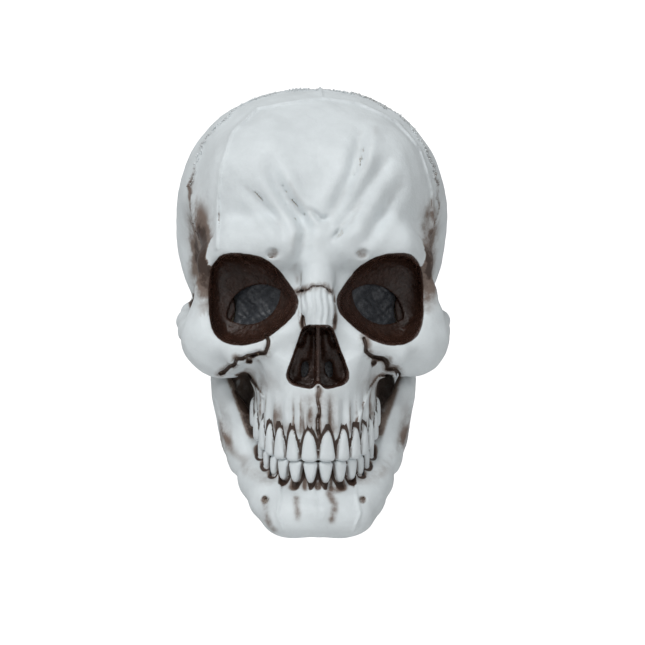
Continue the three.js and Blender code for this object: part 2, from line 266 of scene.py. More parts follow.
def mesh_points(obj):
    points = np.empty(len(obj.data.vertices) * 3, np.float32)
    obj.data.vertices.foreach_get("co", points)
    return points.reshape(-1, 3) * 1000 + SEAT


def apply_modifiers(obj):
    ready = obj.evaluated_get(bpy.context.evaluated_depsgraph_get())
    finished = bpy.data.meshes.new_from_object(ready)
    obj.modifiers.clear()
    obj.data = finished


def gradient(field, points, reach=0.12):
    here = field(Cloud(points))
    slopes = []
    for axis in range(3):
        moved = points.copy()
        moved[:, axis] += reach
        slopes.append((field(Cloud(moved)) - here) / reach)
    return here, np.stack(slopes, 1)


def skin(name, field, space, most_faces, polish=2):
    """Draws a field's surface, thins it to a face count and settles its vertices back on the field."""
    points, quads = draw_surface(space, field(space))
    obj = mesh_object(name, points, quads.tolist())
    triangles = 2 * len(quads)
    if triangles > most_faces:
        thin = obj.modifiers.new("thin", "DECIMATE")
        thin.ratio = most_faces / triangles
        apply_modifiers(obj)
    points = mesh_points(obj)
    for _ in range(polish):
        value, slope = gradient(field, points)
        size = np.maximum((slope**2).sum(1), 0.25)
        points = points - np.clip(value / size, -0.5, 0.5)[:, None] * slope
    obj.data.vertices.foreach_set("co", ((points - SEAT) / 1000).astype(np.float32).ravel())
    obj.data.update()
    obj.data.shade_smooth()
    return obj, points


FAR = {"hollow": 0.25, "gloss": 9, "crack": 9, "suture": 20}
FAR.update({"fold": 20, "stain": 0.2, "tooth": 9, "lining": 0})


def keep_paint(obj, points, **given):
    """Stores what the paint reads at each vertex: the given values, or the usual one far from any mark."""
    for name, usual in FAR.items():
        values = given.get(name, np.full(len(points), usual))
        layer = obj.data.attributes.new(name, "FLOAT", "POINT")
        layer.data.foreach_set("value", np.asarray(values, np.float32))


def normals_of(obj):
    normals = np.empty(len(obj.data.vertices) * 3, np.float32)
    obj.data.vertices.foreach_get("normal", normals)
    return normals.reshape(-1, 3)


def faces_out(form, points, normals):
    """True where a skin's surface is its outside, and not its lining."""
    value, slope = gradient(form.field, points)
    return (value > -0.9) | ((slope * normals).sum(1) > -0.2)


def hollow_amount(field, points, normals, reaches=(2.5, 6.0, 13.0)):
    """How closed-in each point is: 0 on an open surface, towards 1 deep in a recess."""
    closed = 0
    for reach in reaches:
        free = field(Cloud(points + normals * reach)) / reach
        closed = closed + np.clip(1 - free, 0, 1.3)
    return closed / len(reaches)


# ---------------------------------------------------------------------------------------------------------
# Lines drawn on the front of the skull, as (x, z) points
# ---------------------------------------------------------------------------------------------------------
def line_distance(x, z, points):
    """Distance from (x, z) to a line of points, and how far along it the nearest place is, 0 to 1."""
    nearest = np.full(np.broadcast(x, z).shape, 1e3, np.float32)
    place = np.zeros_like(nearest)
    for i, ((ax, az), (bx, bz)) in enumerate(zip(points, points[1:])):
        length = (bx - ax) ** 2 + (bz - az) ** 2
        t = np.clip(((x - ax) * (bx - ax) + (z - az) * (bz - az)) / length, 0, 1)
        gap = np.hypot(x - ax - t * (bx - ax), z - az - t * (bz - az))
        closer = gap < nearest
        nearest = np.where(closer, gap, nearest)
        place = np.where(closer, (i + t) / (len(points) - 1), place)
    return nearest, place


def wavy(points, swing, pitch):
    """The same line with a small side-to-side wander, as a bone suture has."""
    result = [points[0]]
    for (ax, az), (bx, bz) in zip(points, points[1:]):
        length = math.hypot(bx - ax, bz - az)
        count = max(1, round(length / pitch))
        for i in range(1, count + 1):
            t = i / count
            sway = swing * math.sin(7.3 * (len(result) + 1)) * (i < count)
            x = ax + t * (bx - ax) - sway * (bz - az) / length
            result.append((x, az + t * (bz - az) + sway * (bx - ax) / length))
    return result


FROWN = [  # (line, depth, width)
    ([(-27, 202), (-22, 190), (-17, 183), (-9, 173), (-6.5, 163), (-9, 153)], 2.1, 3.6),
    ([(-39, 188), (-30, 179), (-24, 172), (-18, 164)], 1.5, 3.2),
    ([(24, 219), (20.5, 198), (13, 182), (6, 170)], 2.2, 3.8),
    ([(41, 207), (30, 191), (19, 175), (9, 161)], 2.2, 3.4),
    ([(46, 190), (36, 174), (27, 160), (20, 155)], 1.6, 3.4),
    ([(-4, 176), (1.5, 171), (6, 171)], 1.5, 1.5),
    ([(8, 160), (13, 165)], 1.3, 1.4),
    ([(33, 222), (28, 204), (20, 188)], -1.2, 3.4),
    ([(-18, 196), (-12, 184), (-3, 172)], -1.1, 3.2),
    ([(-12, 166), (-14, 158), (-13, 150)], -1.2, 3.0),
    ([(36, 198), (26, 183), (17, 168)], -1.3, 3.2),
]
CHEEK_CRACKS = [
    wavy(
        [(-27.5, 107), (-27, 102), (-28.5, 98), (-38, 96.5), (-44, 95), (-45, 91.5), (-50, 88), (-53, 86.5)],
        0.7,
        3,
    ),
    wavy([(25, 106), (26, 99), (33, 95.5), (38, 94), (39.5, 89), (43.5, 89), (46, 86)], 0.7, 3),
]
NASAL_CRACKS = [
    wavy([(-11, 131), (-7, 132), (-3, 134.5), (4, 133.5), (7, 131)], 0.5, 2),
]
PHILTRUM = wavy([(0, 80), (0.3, 70), (-0.3, 60), (0, 51)], 0.6, 2.2)
PITS = [  # (x, z, half the width, half the height, depth)
    (-24.5, 152, 3.4, 2.6, 2.2),
    (24, 152, 3.4, 2.6, 2.2),
    (-37, 94, 1.7, 1.7, 1.6),
    (31, 93, 1.7, 1.7, 1.6),
]
MOULD_LINE = [
    [(4, 252), (4, 241)],
    [(-55, 155), (-54.5, 182), (-53, 199), (-46.5, 220), (-32, 235), (4, 241)],
    [(4, 241), (25, 238), (46.5, 228), (59.5, 211), (66, 188), (66, 165)],
    [(-30, 74), (-38, 84), (-52, 85)],
    [(44, 84), (35, 84), (29, 77), (22, 60)],
]


def groove(distance, depth, width):
    """A pressed-in line with slightly raised lips."""
    return depth * (0.3 * bell(distance - 2.1 * width, width) - bell(distance, width))


def face_relief(x, z):
    """Height of the fine modelling on the front of the cranium, in millimetres."""
    height = np.zeros(np.broadcast(x, z).shape, np.float32)
    for line, depth, width in FROWN:
        distance, place = line_distance(x, z, line)
        height += groove(distance, 1.25 * depth * (1 - 0.75 * abs(2 * place - 1) ** 3), width)
    for line in CHEEK_CRACKS:
        height += groove(line_distance(x, z, line)[0], 1.5, 1.0)
    for line in NASAL_CRACKS:
        height += groove(line_distance(x, z, line)[0], 0.7, 0.7)
    height += groove(line_distance(x, z, PHILTRUM)[0], 0.9, 0.6)
    for px, pz, half_width, half_height, depth in PITS:
        height -= depth * np.exp(-((((x - px) / half_width) ** 2 + ((z - pz) / half_height) ** 2) ** 2))
    bridge = step(110, 114, z) * (1 - step(132, 136, z)) * (1 - step(7, 11, abs(x)))
    height += 0.55 * bridge * np.sin(1.9 * x + 0.8 * np.sin(0.4 * z))
    return height


def mould_ridge(x, z):
    """The thin raised seam that the mould left round the face."""
    nearest = np.minimum.reduce([line_distance(x, z, line)[0] for line in MOULD_LINE])
    return 1.15 * bell(nearest, 1.0)


def ripple(x, y, z):
    """A slow unevenness, as hand modelling leaves."""
    return (
        0.34 * np.sin(0.21 * x + 0.4) * np.sin(0.17 * z + 0.11 * y)
        + 0.13 * np.sin(0.43 * x + 0.31 * z + 1.1) * np.sin(0.37 * y - 0.23 * z)
        + 0.04 * np.sin(0.9 * x - 0.7 * z) * np.sin(0.8 * z + 0.9 * y)
    )


def suture_place(turn):
    """The y of the coronal suture at an angle from the top of the crown."""
    wander = 1.5 * np.sin(17 * turn) + 1.2 * np.sin(41 * turn + 1.3) + 0.7 * np.sin(83 * turn)
    return -46 + 22 * np.cos(turn) ** 2 - wander


def coronal_gap(x, y, z):
    """Distance from the suture that crosses the crown from temple to temple."""
    turn = np.arctan2(x, z - CROWN)
    return abs(y - suture_place(turn))


def crust(x, y, z):
    """A rough, crumbly texture between -1 and 1."""
    rough = np.sin(2.1 * x + 1.7 * np.sin(1.3 * z)) * np.sin(2.3 * z + 1.4 * np.sin(1.1 * y))
    return rough * np.sin(1.9 * y + 1.2 * np.sin(1.7 * x))


# ---------------------------------------------------------------------------------------------------------
# Cranium
# ---------------------------------------------------------------------------------------------------------
def bite_height(y):
    """Where the upper and lower teeth meet: level in front and rising towards the back."""
    return 39.8 + 0.0105 * np.maximum(0, y + 96) ** 2


def socket_gap(x, z):
    """Signed distance, seen from the front, from the edge of an eye socket."""
    u = (abs(x) - 34.6) / 23.4
    v = (z - 126.8 - 1.5 * u) / (23.2 * (1 + 0.1 * u))
    rounded = (abs(u) ** 3.2 + abs(v) ** 3.2) ** (1 / 3.2) - 1
    brow_corner = 0.68 * v - 0.68 * u - 0.9
    nose_corner = -0.64 * u - 0.74 * v - 0.82
    trimmed = smooth_max(rounded * SOCKET_RADIUS, brow_corner * SOCKET_RADIUS, 7)
    return smooth_max(trimmed, nose_corner * SOCKET_RADIUS, 7)


def nose_gap(x, z):
    """Signed distance, seen from the front, from the edge of the nasal opening."""
    side = (abs(x) - 8.2 - 0.36 * (109 - z)) / 1.06
    below = 79.6 + 3.2 * bell(x, 2.6) + 0.012 * x * x - z
    return smooth_max(smooth_max(side, z - 112.5, 4), below, 7)


def eye_hole_gap(x, z):
    """Signed distance, seen from the front, from the edge of an eye hole."""
    turn = math.radians(-27)
    across, up = abs(x) - EYE_HOLE[0], z - EYE_HOLE[1]
    u = across * math.cos(turn) + up * math.sin(turn)
    v = -across * math.sin(turn) + up * math.cos(turn)
    return np.hypot(u, abs(v) + 8.5) - 18.6


TOOTH_WIDTHS = (9.4, 8.0, 8.2, 7.4, 7.4, 9.2, 9.0)


def tooth_places(widths, outward):
    """(x, y, facing angle) for each tooth on the left side of the arch."""
    turns = np.linspace(0, 1.6, 400)
    pace = np.hypot(ARCH["x"] * np.cos(turns), ARCH["y"] * np.sin(turns))
    travelled = np.cumsum(pace) * (turns[1] - turns[0])
    travel, places = 0.0, []
    for width in widths:
        turn = float(np.interp(travel + width / 2, travelled, turns))
        travel += width + 0.3
        x = (ARCH["x"] + outward) * math.sin(turn)
        y = ARCH["mid"] - (ARCH["y"] + outward) * math.cos(turn)
        places.append((x, y, math.atan2(ARCH["y"] * math.sin(turn), ARCH["x"] * math.cos(turn))))
    return places


def tooth_shape(place, width, depth, low, high, taper):
    """A tooth crown: a rounded block that narrows from its biting edge to its neck."""
    px, py, facing = place
    middle, half = (low + high) / 2, abs(high - low) / 2

    def field(x, y, z):
        u = (x - px) * math.cos(facing) + (y - py) * math.sin(facing)
        v = -(x - px) * math.sin(facing) + (y - py) * math.cos(facing)
        w = z - (bite_height(np.float32(py)) + middle)
        neck = w / half * np.sign(high - low)
        narrow = 1.05 - taper * np.clip(neck * 0.5 + 0.5, 0, 1.2)
        along = np.clip(abs(w / half), 0, 3) ** np.where(neck > 0, 2.7, 6.0)
        size = (abs(2 * u / (width * narrow)) ** 3 + abs(v / depth) ** 3 + along) ** (1 / 3.1)
        return (size - 1) * 0.45 * width

    return field


def add_teeth(sculpture, widths, outward, depth, low, high, taper, blend):
    for place, width in zip(tooth_places(widths, outward), widths):
        px, py = place[:2]
        base = float(bite_height(py))
        z_ends = sorted((base + low, base + high))
        sculpture.join(
            tooth_shape(place, width, depth, low, high, taper),
            blend,
            (max(px - 9, 0.001) if px > 9 else -px - 9, py - 9, z_ends[0] - 4),
            (px + 9, py + 9, z_ends[1] + 4),
        )


def pivot_distance(y, z):
    return np.hypot(y - PIVOT[0], z - PIVOT[1])


def cranium_form():
    form = Sculpture()
    vault = ellipsoid((0, 5, 172), (78.8, 95, 77.6), 2.25)
    lower_vault = ellipsoid((0, 5, 172), (78.8, 95, 76), 2.25)
    form.join(lambda x, y, z: np.where(z > 172, vault(x, y, z), lower_vault(x, y, z)), 0.5)
    nape = ellipsoid((0, 22, 40), (56, 52, 78), 3)
    form.join(nape, 20, (-90, -60, 20), (90, 100, 150))
    form.join(ellipsoid((29, -60, 196), (27, 26, 26)), 14, (-70, -110, 150), (75, -20, 240))
    form.chain([(0, -86, 157), (22, -85.5, 158), (43, -77, 157), (58, -64, 149)], [7, 8.2, 8, 6.5], 12)
    form.join(ellipsoid((0, -56, 112), (46, 34, 38)), 10, (-70, -110, 60), (70, 0, 165))
    form.join(ellipsoid((51.5, -60, 104), (22, 18, 20)), 8, (10, -100, 70), (90, -20, 135))
    form.join(ellipsoid((61, -50, 114), (14.5, 17, 19), 2.6), 5, (35, -80, 85), (85, -20, 145))
    form.chain([(58, -64, 147), (62, -62, 132), (61, -65, 116), (58, -68, 106)], [5.5, 4.6, 5.4, 7], 5)
    form.join(ellipsoid((57, -56, 134), (7.5, 10, 19)), 5, (40, -75, 105), (75, -35, 165))
    form.chain([(11, -87, 112), (27, -87, 103), (44, -81, 99), (58, -68, 105)], [4.5, 5, 6, 6.5], 5)
    form.chain(
        [(58, -70.5, 116), (54.5, -73.5, 107), (46, -78.5, 101.6), (36, -83, 101.2), (28, -87, 104.5)],
        [2.4, 3, 3.2, 3.2, 2.2],
        2.2,
    )
    form.chain([(0, -88, 147), (0, -91, 135), (0, -97, 123), (0, -99, 114)], [8, 7.4, 7.4, 6.4], 6)
    form.join(ellipsoid((18, -82, 97), (12, 9, 15)), 6, (0.01, -105, 70), (42, -60, 125))
    form.join(muzzle_shape, 9, (-60, -115, 20), (60, 20, 108))
    # Hollows
    form.cut(socket_hollow, 2.6, (-75, -130, 92), (75, -45, 162))
    form.cut(nose_hollow, 1.6, (-30, -130, 70), (30, -70, 122))
    form.cut(ellipsoid((90, -36, 140), (29, 32, 44)), 10, (45, -90, 80), (130, 15, 200))
    form.chain(
        [(62, -60, 108), (68, -46, 110), (71.5, -24, 115), (70, 0, 120), (66, 14, 124)],
        [9, 7.5, 5.6, 5, 5],
        5,
    )
    form.cut(ellipsoid((33, -93, 82), (9, 8, 12)), 8, (10, -115, 55), (60, -70, 110))
    form.cut(block((48.5, -56, -50), (200, 22, 104)), 2.5, (40, -70, 10), (130, 35, 115))
    form.cut(block((48.9, -51, 90), (66, 21, 127.3)), 6, (40, -62, 85), (75, 30, 135))
    return form


def socket_front(x):
    """The y of an eye socket's rim, which turns back towards the temple."""
    return -91 + 23 * np.clip((abs(x) - 12) / 46, 0, 1)


def socket_hollow(x, y, z):
    """Signed distance from the surface of an eye socket's bowl."""
    across = np.maximum(socket_gap(x, z) / SOCKET_RADIUS + 1, 0) ** 2.5
    return ((across + (np.maximum(y - socket_front(x), 0) / SOCKET_DEPTH) ** 2.5) ** 0.4 - 1) * 19


def nose_hollow(x, y, z):
    return np.maximum(nose_gap(x, z), y + 79)


def arch_turn(x, y):
    """How far round the dental arch a place is, from the front teeth."""
    return np.arctan2(abs(x) / ARCH["x"], -(y - ARCH["mid"]) / ARCH["y"])


def root_bulges(x, y):
    """Rises and falls between -1 and 1 with the roots of the teeth."""
    return np.cos(arch_turn(x, y) * ARCH["x"] * 1.22 / ROOT_PITCH * 2 * math.pi + math.pi)


def muzzle_shape(x, y, z):
    """The bone over the roots of the upper teeth."""
    swell = 1 + 0.06 * np.sin(np.clip((z - 40) / 50, 0, 1) * math.pi)
    ring = np.hypot(x / (ARCH["x"] * swell), (y - ARCH["mid"]) / (ARCH["y"] * swell))
    wall = (ring - 1) * 34
    fade = step(50, 56, z) * (1 - step(62, 80, z))
    return np.maximum(wall - 0.7 * root_bulges(x, y) * fade, z - 92)


CRANIUM = cranium_form()
UPPER_TEETH = Sculpture()
add_teeth(UPPER_TEETH, TOOTH_WIDTHS, 1.0, 3.3, -0.3, 16.6, 0.6, 0.6)
NASAL_BONES = Sculpture()
NASAL_BONES.join(block((-1.0, -94, 82), (1.0, -77, 113)), 0.8, (-8, -110, 70), (8, -70, 122), False)
NASAL_BONES.chain([(0, -88, 80.5), (0, -94, 81.5)], [2.4, 1.3], 1.5)
NASAL_BONES.chain([(9.2, -79.5, 99), (12.2, -79, 86)], [2.6, 2.8], 3)
NASAL_BONES.chain([(4.6, -79.5, 107), (5.6, -79, 96)], [2, 1.8], 3)


def cranium_field(space, wall=WALL):
    """The finished cranium skin: outside, lining, openings and teeth."""
    base = CRANIUM.field(space)
    _, x, y, z = space.region(*EVERYWHERE)
    front = 1 - step(-62, -48, y)
    relief = face_relief(x, z) * front
    wall = wall - np.minimum(relief, 0)
    suture = coronal_gap(x, y, z)
    high = step(162, 176, z)
    base = base - ripple(x, y, z)
    outer = base - relief - mould_ridge(x, z) * (y < 0) * (base < 4)
    outer = outer - high * (0.9 * bell(suture, 2.6) * (0.6 + 0.8 * crust(x, y, z)))
    outer = outer + high * 1.1 * bell(suture, 0.8)
    temples = bell(z - 170, 11) * bell(y + 47, 9) * step(40, 55, abs(x))
    outer = outer - temples * (0.5 + 1.2 * crust(x * 0.8, y, z * 0.8))
    floor = np.minimum(bite_height(y) + 0.4, 62 + 1.2 * np.sin(0.12 * x) * np.sin(0.1 * y))
    outer = smooth_max(outer, floor - z, 0.8)
    shell = smooth_max(outer, -(base + wall), 0.6)
    shell = smooth_max(shell, -np.maximum(eye_hole_gap(x, z), np.maximum(y + 53.4, -y - 84)), 0.4)
    nostril = (np.hypot((abs(x) - 7.5) / 3.2, (z - 90) / 5.5) - 1) * 3.2
    shell = smooth_max(shell, -np.maximum(nostril, np.maximum(y + 62, -y - 84)), 0.4)
    shell = smooth_max(shell, RIVET_HOLE - pivot_distance(y, z) - 50 * (abs(x) > 60), 0.2)
    shell = UPPER_TEETH.field(space, shell)
    return NASAL_BONES.field(space, shell)


def spaced(*spans):
    """Sample places: each span is (start, end, spacing)."""
    return np.unique(np.concatenate([np.arange(a, b, s) for a, b, s in spans]).round(3))


def paint_cranium(obj, points):
    """Stores what the paint needs to know at each vertex of the cranium."""
    x, y, z = points.T
    normals = normals_of(obj)
    hollow = hollow_amount(cranium_field, points, normals)
    outside = faces_out(CRANIUM, points, normals) | ((eye_hole_gap(x, z) < 0.7) & (y < -52))
    front = y < -50
    gloss = np.minimum(socket_hollow(x, y, z), nose_hollow(x, y, z)) - 1.1
    gloss = np.where(front & outside, gloss, 9)
    gloss[(eye_hole_gap(x, z) < 0.9) & (y < -50) & (abs(x) > 10)] = -1
    cracks = [line_distance(x, z, line)[0] - 0.45 for line in CHEEK_CRACKS]
    cracks += [line_distance(x, z, line)[0] for line in NASAL_CRACKS]
    cracks.append(line_distance(x, z, PHILTRUM)[0] + 0.35)
    crack = np.where(front, np.min(cracks, axis=0), 9)
    suture = np.where(z > 160, coronal_gap(x, y, z) + 3.4 * step(186, 206, z), 20)
    folds = [line_distance(x, z, line)[0] for line, _, _ in FROWN]
    fold = np.where(front, np.min(folds, axis=0), 20)
    temple = bell(abs(x) - 63 - 0.1 * (z - 150), 6.5) * bell(z - 152, 24) * (y > -72) * (y < 0)
    # recess: brown paint on the side wall between the upper jaw and the jaw's ramus, deepened with painted
    # shade where that recess lies in shadow
    recess = step(-58, -48, y) * (1 - step(100, 110, z)) * (abs(x) > 32) * (1 - step(10, 24, y))
    lip = bell(x, 13) * bell(z - 70, 9) * front
    cheek = bell(abs(x) - 34, 12) * bell(z - 82, 8) * front
    gums = bell(z - bite_height(y) - 17, 3.5) * (y < -45)
    pits = sum(bell(np.hypot(x - px, z - pz), 0.9 * wide, 4) for px, pz, wide, _, _ in PITS) * front
    # The stain sum holds real brown stains and, through recess, painted shade
    stain = 1.5 * temple + 0.5 * pits + 0.8 * recess + 0.3 * lip + 0.3 * cheek + 0.3 * gums
    between = np.clip(np.sin(arch_turn(x, y) * 31 + 2.4 * np.sin(0.3 * x)), 0, 1) ** 2
    streaks = between * bell(z - bite_height(y) - 24, 8) * front * (y < -58)
    stain = stain + 0.5 * streaks
    teeth = UPPER_TEETH.field(Cloud(points), np.full(len(points), 9.0, np.float32))
    forehead = step(158, 168, z) * (1 - step(46, 54, abs(x))) * front
    keep_paint(
        obj,
        points,
        hollow=hollow * (1 - 0.55 * forehead),
        gloss=gloss,
        crack=np.minimum(crack, FAR["crack"]),
        suture=np.minimum(suture, FAR["suture"]),
        fold=np.minimum(fold, FAR["fold"]),
        stain=np.clip(stain, 0, 1.5),
        tooth=np.where(z < bite_height(y) + 21, teeth, FAR["tooth"]),
        lining=np.where(outside | (teeth < 0.5), 0.0, 1.0),
    )


# ---------------------------------------------------------------------------------------------------------
# Jaw
# ---------------------------------------------------------------------------------------------------------
RAMUS_ROWS = {  # its front edge, its rear edge and the middle of its thickness, at each height
    "z": (30, 40, 50, 62, 72, 82, 90, 98, 104, 117, 130),
    "front": (-52, -50, -49, -44, -41, -38, -34, -27, -15, -14, -14),
    "rear": (-40, -27, -14, -6, -3, 0, 2, 3, 3.5, 4, 4),
    "middle": (41.6, 45.2, 48.6, 52, 54.2, 55, 54.6, 53, 52.2, 52, 52),
}
LOWER_WIDTHS = (8.5, 8.2, 7.8, 7.2, 7.4, 8.6)


def ramus_shape(x, y, z):
    """The blade that rises from the back of the jaw to the rivet."""
    rows = RAMUS_ROWS["z"]
    names = ("front", "rear", "middle")
    front, rear, middle = (np.interp(z, rows, RAMUS_ROWS[name]).astype(np.float32) for name in names)
    outline = smooth_max(front - y, y - rear, 3)
    outline = np.maximum(outline, z - PIVOT[1])
    outline = np.minimum(smooth_max(outline, 34 - z, 6), pivot_distance(y, z) - 9)
    cushion = 1.55 + 1.3 * step(0, 9, -outline) * (1 - step(84, 100, z))
    return smooth_max(abs(x - middle - 0.6 * (cushion - 1.55)) - cushion, outline, 1.2)


def jaw_form():
    form = Sculpture()
    form.chain(
        [(0, -93, 12), (18, -88.5, 12), (25.5, -79, 18), (31.5, -66, 27)]
        + [(37.5, -51, 39), (41.5, -37, 48), (46, -29, 54)],
        [11.5, 10.5, 10.3, 9.8, 8.8, 7, 5],
        7,
    )
    form.chain(
        [(37.5, -53, 44), (38.3, -47.5, 55), (45, -47.5, 66), (50.5, -45, 78), (53, -40, 90)],
        [6.2, 5.6, 4.6, 3.6, 2.4],
        8,
    )
    form.join(ellipsoid((0, -92, 8), (25, 10.5, 8.6), 2.4), 6, (-45, -115, -15), (45, -65, 30))
    form.join(ellipsoid((13, -94, 7), (11, 9, 8)), 4, (-35, -115, -10), (35, -70, 25))
    form.join(alveolar_shape, 6, (-50, -110, 5), (50, -35, 62))
    form.join(ramus_shape, 8, (38, -66, 18), (75, 18, 135))
    form.cut(ellipsoid((0, -104, 23), (9, 5, 5)), 5, (-25, -118, 8), (25, -90, 38))
    return form


def alveolar_shape(x, y, z):
    """The wall of bone that the lower teeth stand in."""
    ring = np.hypot(x / ARCH["x"], (y - ARCH["mid"]) / ARCH["y"])
    wall = abs((ring - 1) * 34 + 5.1) - 2.6
    roots = 0.5 * root_bulges(x, y)
    bite = bite_height(np.minimum(y, -45))
    ends = smooth_max(z - bite - 0.4, bite - 24 - z, 1)
    return smooth_max(smooth_max(wall - roots, ends, 1.5), y + 48, 2)


JAW = jaw_form()
LOWER_TEETH = Sculpture()
add_teeth(LOWER_TEETH, LOWER_WIDTHS, -1.3, 3.2, 0.0, -12.0, 0.62, 0.6)
CHIN_STAINS = [
    [(-29, 18), (-27, 8), (-24, 3)],
    [(6, 22), (9, 17), (7, 9)],
    [(8, 24), (14, 25)],
    [(-12, 20), (-11, 10)],
]


def jaw_field(space, wall=WALL):
    """The finished jaw skin: outside, open inside, teeth and rivet holes."""
    base = JAW.field(space)
    _, x, y, z = space.region(*EVERYWHERE)
    front = 1 - step(-76, -60, y)
    base = base - 0.4 * ripple(x, y, z)
    outer = base - front * groove(line_distance(x, z, [(0, 26), (0.3, 12)])[0], 0.35, 1.4)
    for px in CHIN_PITS:
        pit = np.exp(-((((x - px) / 2) ** 2 + ((z - CHIN_PIT_HEIGHT) / 1.7) ** 2) ** 2))
        outer = outer + 1.4 * pit * front
    for side in (-1, 1):
        line = [(side * 22, 42), (side * 20.5, 22), (side * 22.5, 12), (side * 19, 3)]
        outer = outer - 0.8 * bell(line_distance(x, z, line)[0], 0.9) * front
    scab = bell(z - 48, 14) * step(46, 52, abs(x)) * (1 - step(-44, -34, y))
    outer = outer - 0.7 * scab * crust(x, y, z)
    solid = (abs(x) > 47) * (z > 60) + step(-9, -6, z - bite_height(np.minimum(y, -45))) * (abs(x) < 40)
    shell = smooth_max(outer, -(base + wall) - 60 * solid, 0.6)
    mouth = (np.hypot(x / 26.3, (y + 45) / 44.3) - 1) * 26.3
    throat = (np.hypot(x / 26, (y + 44) / 35) - 1) * 26
    shell = smooth_max(shell, -np.maximum(mouth, 7 - z), 0.8)
    shell = smooth_max(shell, -throat, 0.8)
    shell = smooth_max(shell, RIVET_HOLE - pivot_distance(y, z), 0.3)
    return LOWER_TEETH.field(space, shell)


def paint_jaw(obj, points):
    """Stores what the paint needs to know at each vertex of the jaw."""
    x, y, z = points.T
    normals = normals_of(obj)
    hollow = hollow_amount(jaw_field, points, normals)
    outside = faces_out(JAW, points, normals)
    front = (y < -55) * outside
    stains = np.min([line_distance(x, z, line)[0] for line in CHIN_STAINS], axis=0)
    gums = bell(z - bite_height(np.minimum(y, -45)) + 12, 3.2) * (y < -45)
    ramus_front = bell(z - 52, 18) * step(44, 50, abs(x)) * (1 - step(-42, -34, y))
    # inner_side: painted shade with some brown paint on the jaw in the recess beside the upper jaw; darker on
    # the wearer's right (x < 0) than on the left, as painted shade of how the light falls
    inner_side = step(-1, 3, 50.8 - 0.36 * (86 - z) - abs(x)) * step(46, 53, z)
    inner_side = inner_side * (abs(x) > 33) * np.where(x < 0, 1.3, 0.8)
    pits = sum(bell(np.hypot(x - px, z - CHIN_PIT_HEIGHT), 2, 4) for px in CHIN_PITS) * front
    stain = 0.25 * gums + 0.7 * pits + 0.35 * ramus_front + inner_side + 0.5 * bell(stains, 2.2) * front
    teeth = LOWER_TEETH.field(Cloud(points), np.full(len(points), 9.0, np.float32))
    lining = np.where(outside | (teeth < 0.5), 0.0, 1.0)
    keep_paint(obj, points, hollow=hollow, stain=np.clip(stain, 0, 1.5), tooth=teeth, lining=lining)


# ---------------------------------------------------------------------------------------------------------
# Finishes
# ---------------------------------------------------------------------------------------------------------
class Nodes:
    """Adds and links shader nodes in one tree."""

    def __init__(self, tree):
        self.tree = tree

    def add(self, kind, inputs=(), **settings):
        node = self.tree.nodes.new(kind)
        for key, value in settings.items():
            setattr(node, key, value)
        for key, value in dict(inputs).items():
            self.feed(node.inputs[key], value)
        return node

    def feed(self, socket, value):
        if isinstance(value, bpy.types.NodeSocket):
            self.tree.links.new(value, socket)
        else:
            socket.default_value = value

    def math(self, operation, *values, clamp=False):
        node = self.add("ShaderNodeMath", dict(enumerate(values)), operation=operation, use_clamp=clamp)
        return node.outputs[0]

    def times(self, a, b, clamp=False):
        return self.math("MULTIPLY", a, b, clamp=clamp)

    def larger(self, a, b, clamp=False):
        return self.math("MAXIMUM", a, b, clamp=clamp)

    def ramp(self, value, low, high, start=0.0, end=1.0):
        inputs = {"Value": value, "From Min": low, "From Max": high, "To Min": start, "To Max": end}
        return self.add("ShaderNodeMapRange", inputs, interpolation_type="SMOOTHSTEP").outputs["Result"]

    def mix(self, amount, a, b, kind="RGBA"):
        """Between a and b by the amount. Each kind of Mix node keeps its values in sockets of its own."""
        first, output = {"FLOAT": (2, 0), "VECTOR": (4, 1), "RGBA": (6, 2)}[kind]
        node = self.add("ShaderNodeMix", data_type=kind)
        for index, value in ((0, amount), (first, a), (first + 1, b)):
            self.feed(node.inputs[index], value)
        return node.outputs[output]

    def noise(self, place, scale, detail=4.0, roughness=0.55):
        inputs = {"Vector": place, "Scale": scale, "Detail": detail, "Roughness": roughness}
        return self.add("ShaderNodeTexNoise", inputs).outputs["Fac"]

    def cells(self, place, scale, feature="F1"):
        inputs = {"Vector": place, "Scale": scale}
        return self.add("ShaderNodeTexVoronoi", inputs, feature=feature).outputs["Distance"]

    def bump(self, height, strength, distance, **more):
        inputs = {"Height": height, "Strength": strength, "Distance": distance, **more}
        return self.add("ShaderNodeBump", inputs).outputs[0]

    def attribute(self, name):
        return self.add("ShaderNodeAttribute", attribute_name=name).outputs["Fac"]

    def random_vector(self, seed, low, high):
        inputs = {"Min": low, "Max": high, "Seed": seed}
        return self.add("FunctionNodeRandomValue", inputs, data_type="FLOAT_VECTOR").outputs[0]

    def place(self):
        return self.add("ShaderNodeTexCoord").outputs["Object"]


def opaque(colour, share=1.0):
    return (*[channel * share for channel in colour], 1)


def shader_group(name, numbers, outputs):
    """A group with a Place input, numbers to set and numbers that it puts out."""
    group = bpy.data.node_groups.new(name, "ShaderNodeTree")
    group.interface.new_socket("Place", in_out="INPUT", socket_type="NodeSocketVector")
    for label, default in numbers.items():
        socket = group.interface.new_socket(label, in_out="INPUT", socket_type="NodeSocketFloat")
        socket.default_value = default
    for label in outputs:
        group.interface.new_socket(label, in_out="OUTPUT", socket_type="NodeSocketFloat")
    nodes = Nodes(group)
    return group, nodes, nodes.add("NodeGroupInput").outputs, nodes.add("NodeGroupOutput").inputs


def material(name, color=(0.5, 0.5, 0.5), roughness=0.6):
    made = bpy.data.materials.new(name)
    made.use_nodes = True
    made.diffuse_color = (*color, 1)
    nodes = Nodes(made.node_tree)
    shader = made.node_tree.nodes["Principled BSDF"]
    shader.inputs["Base Color"].default_value = (*color, 1)
    shader.inputs["Roughness"].default_value = roughness
    return made, nodes, shader


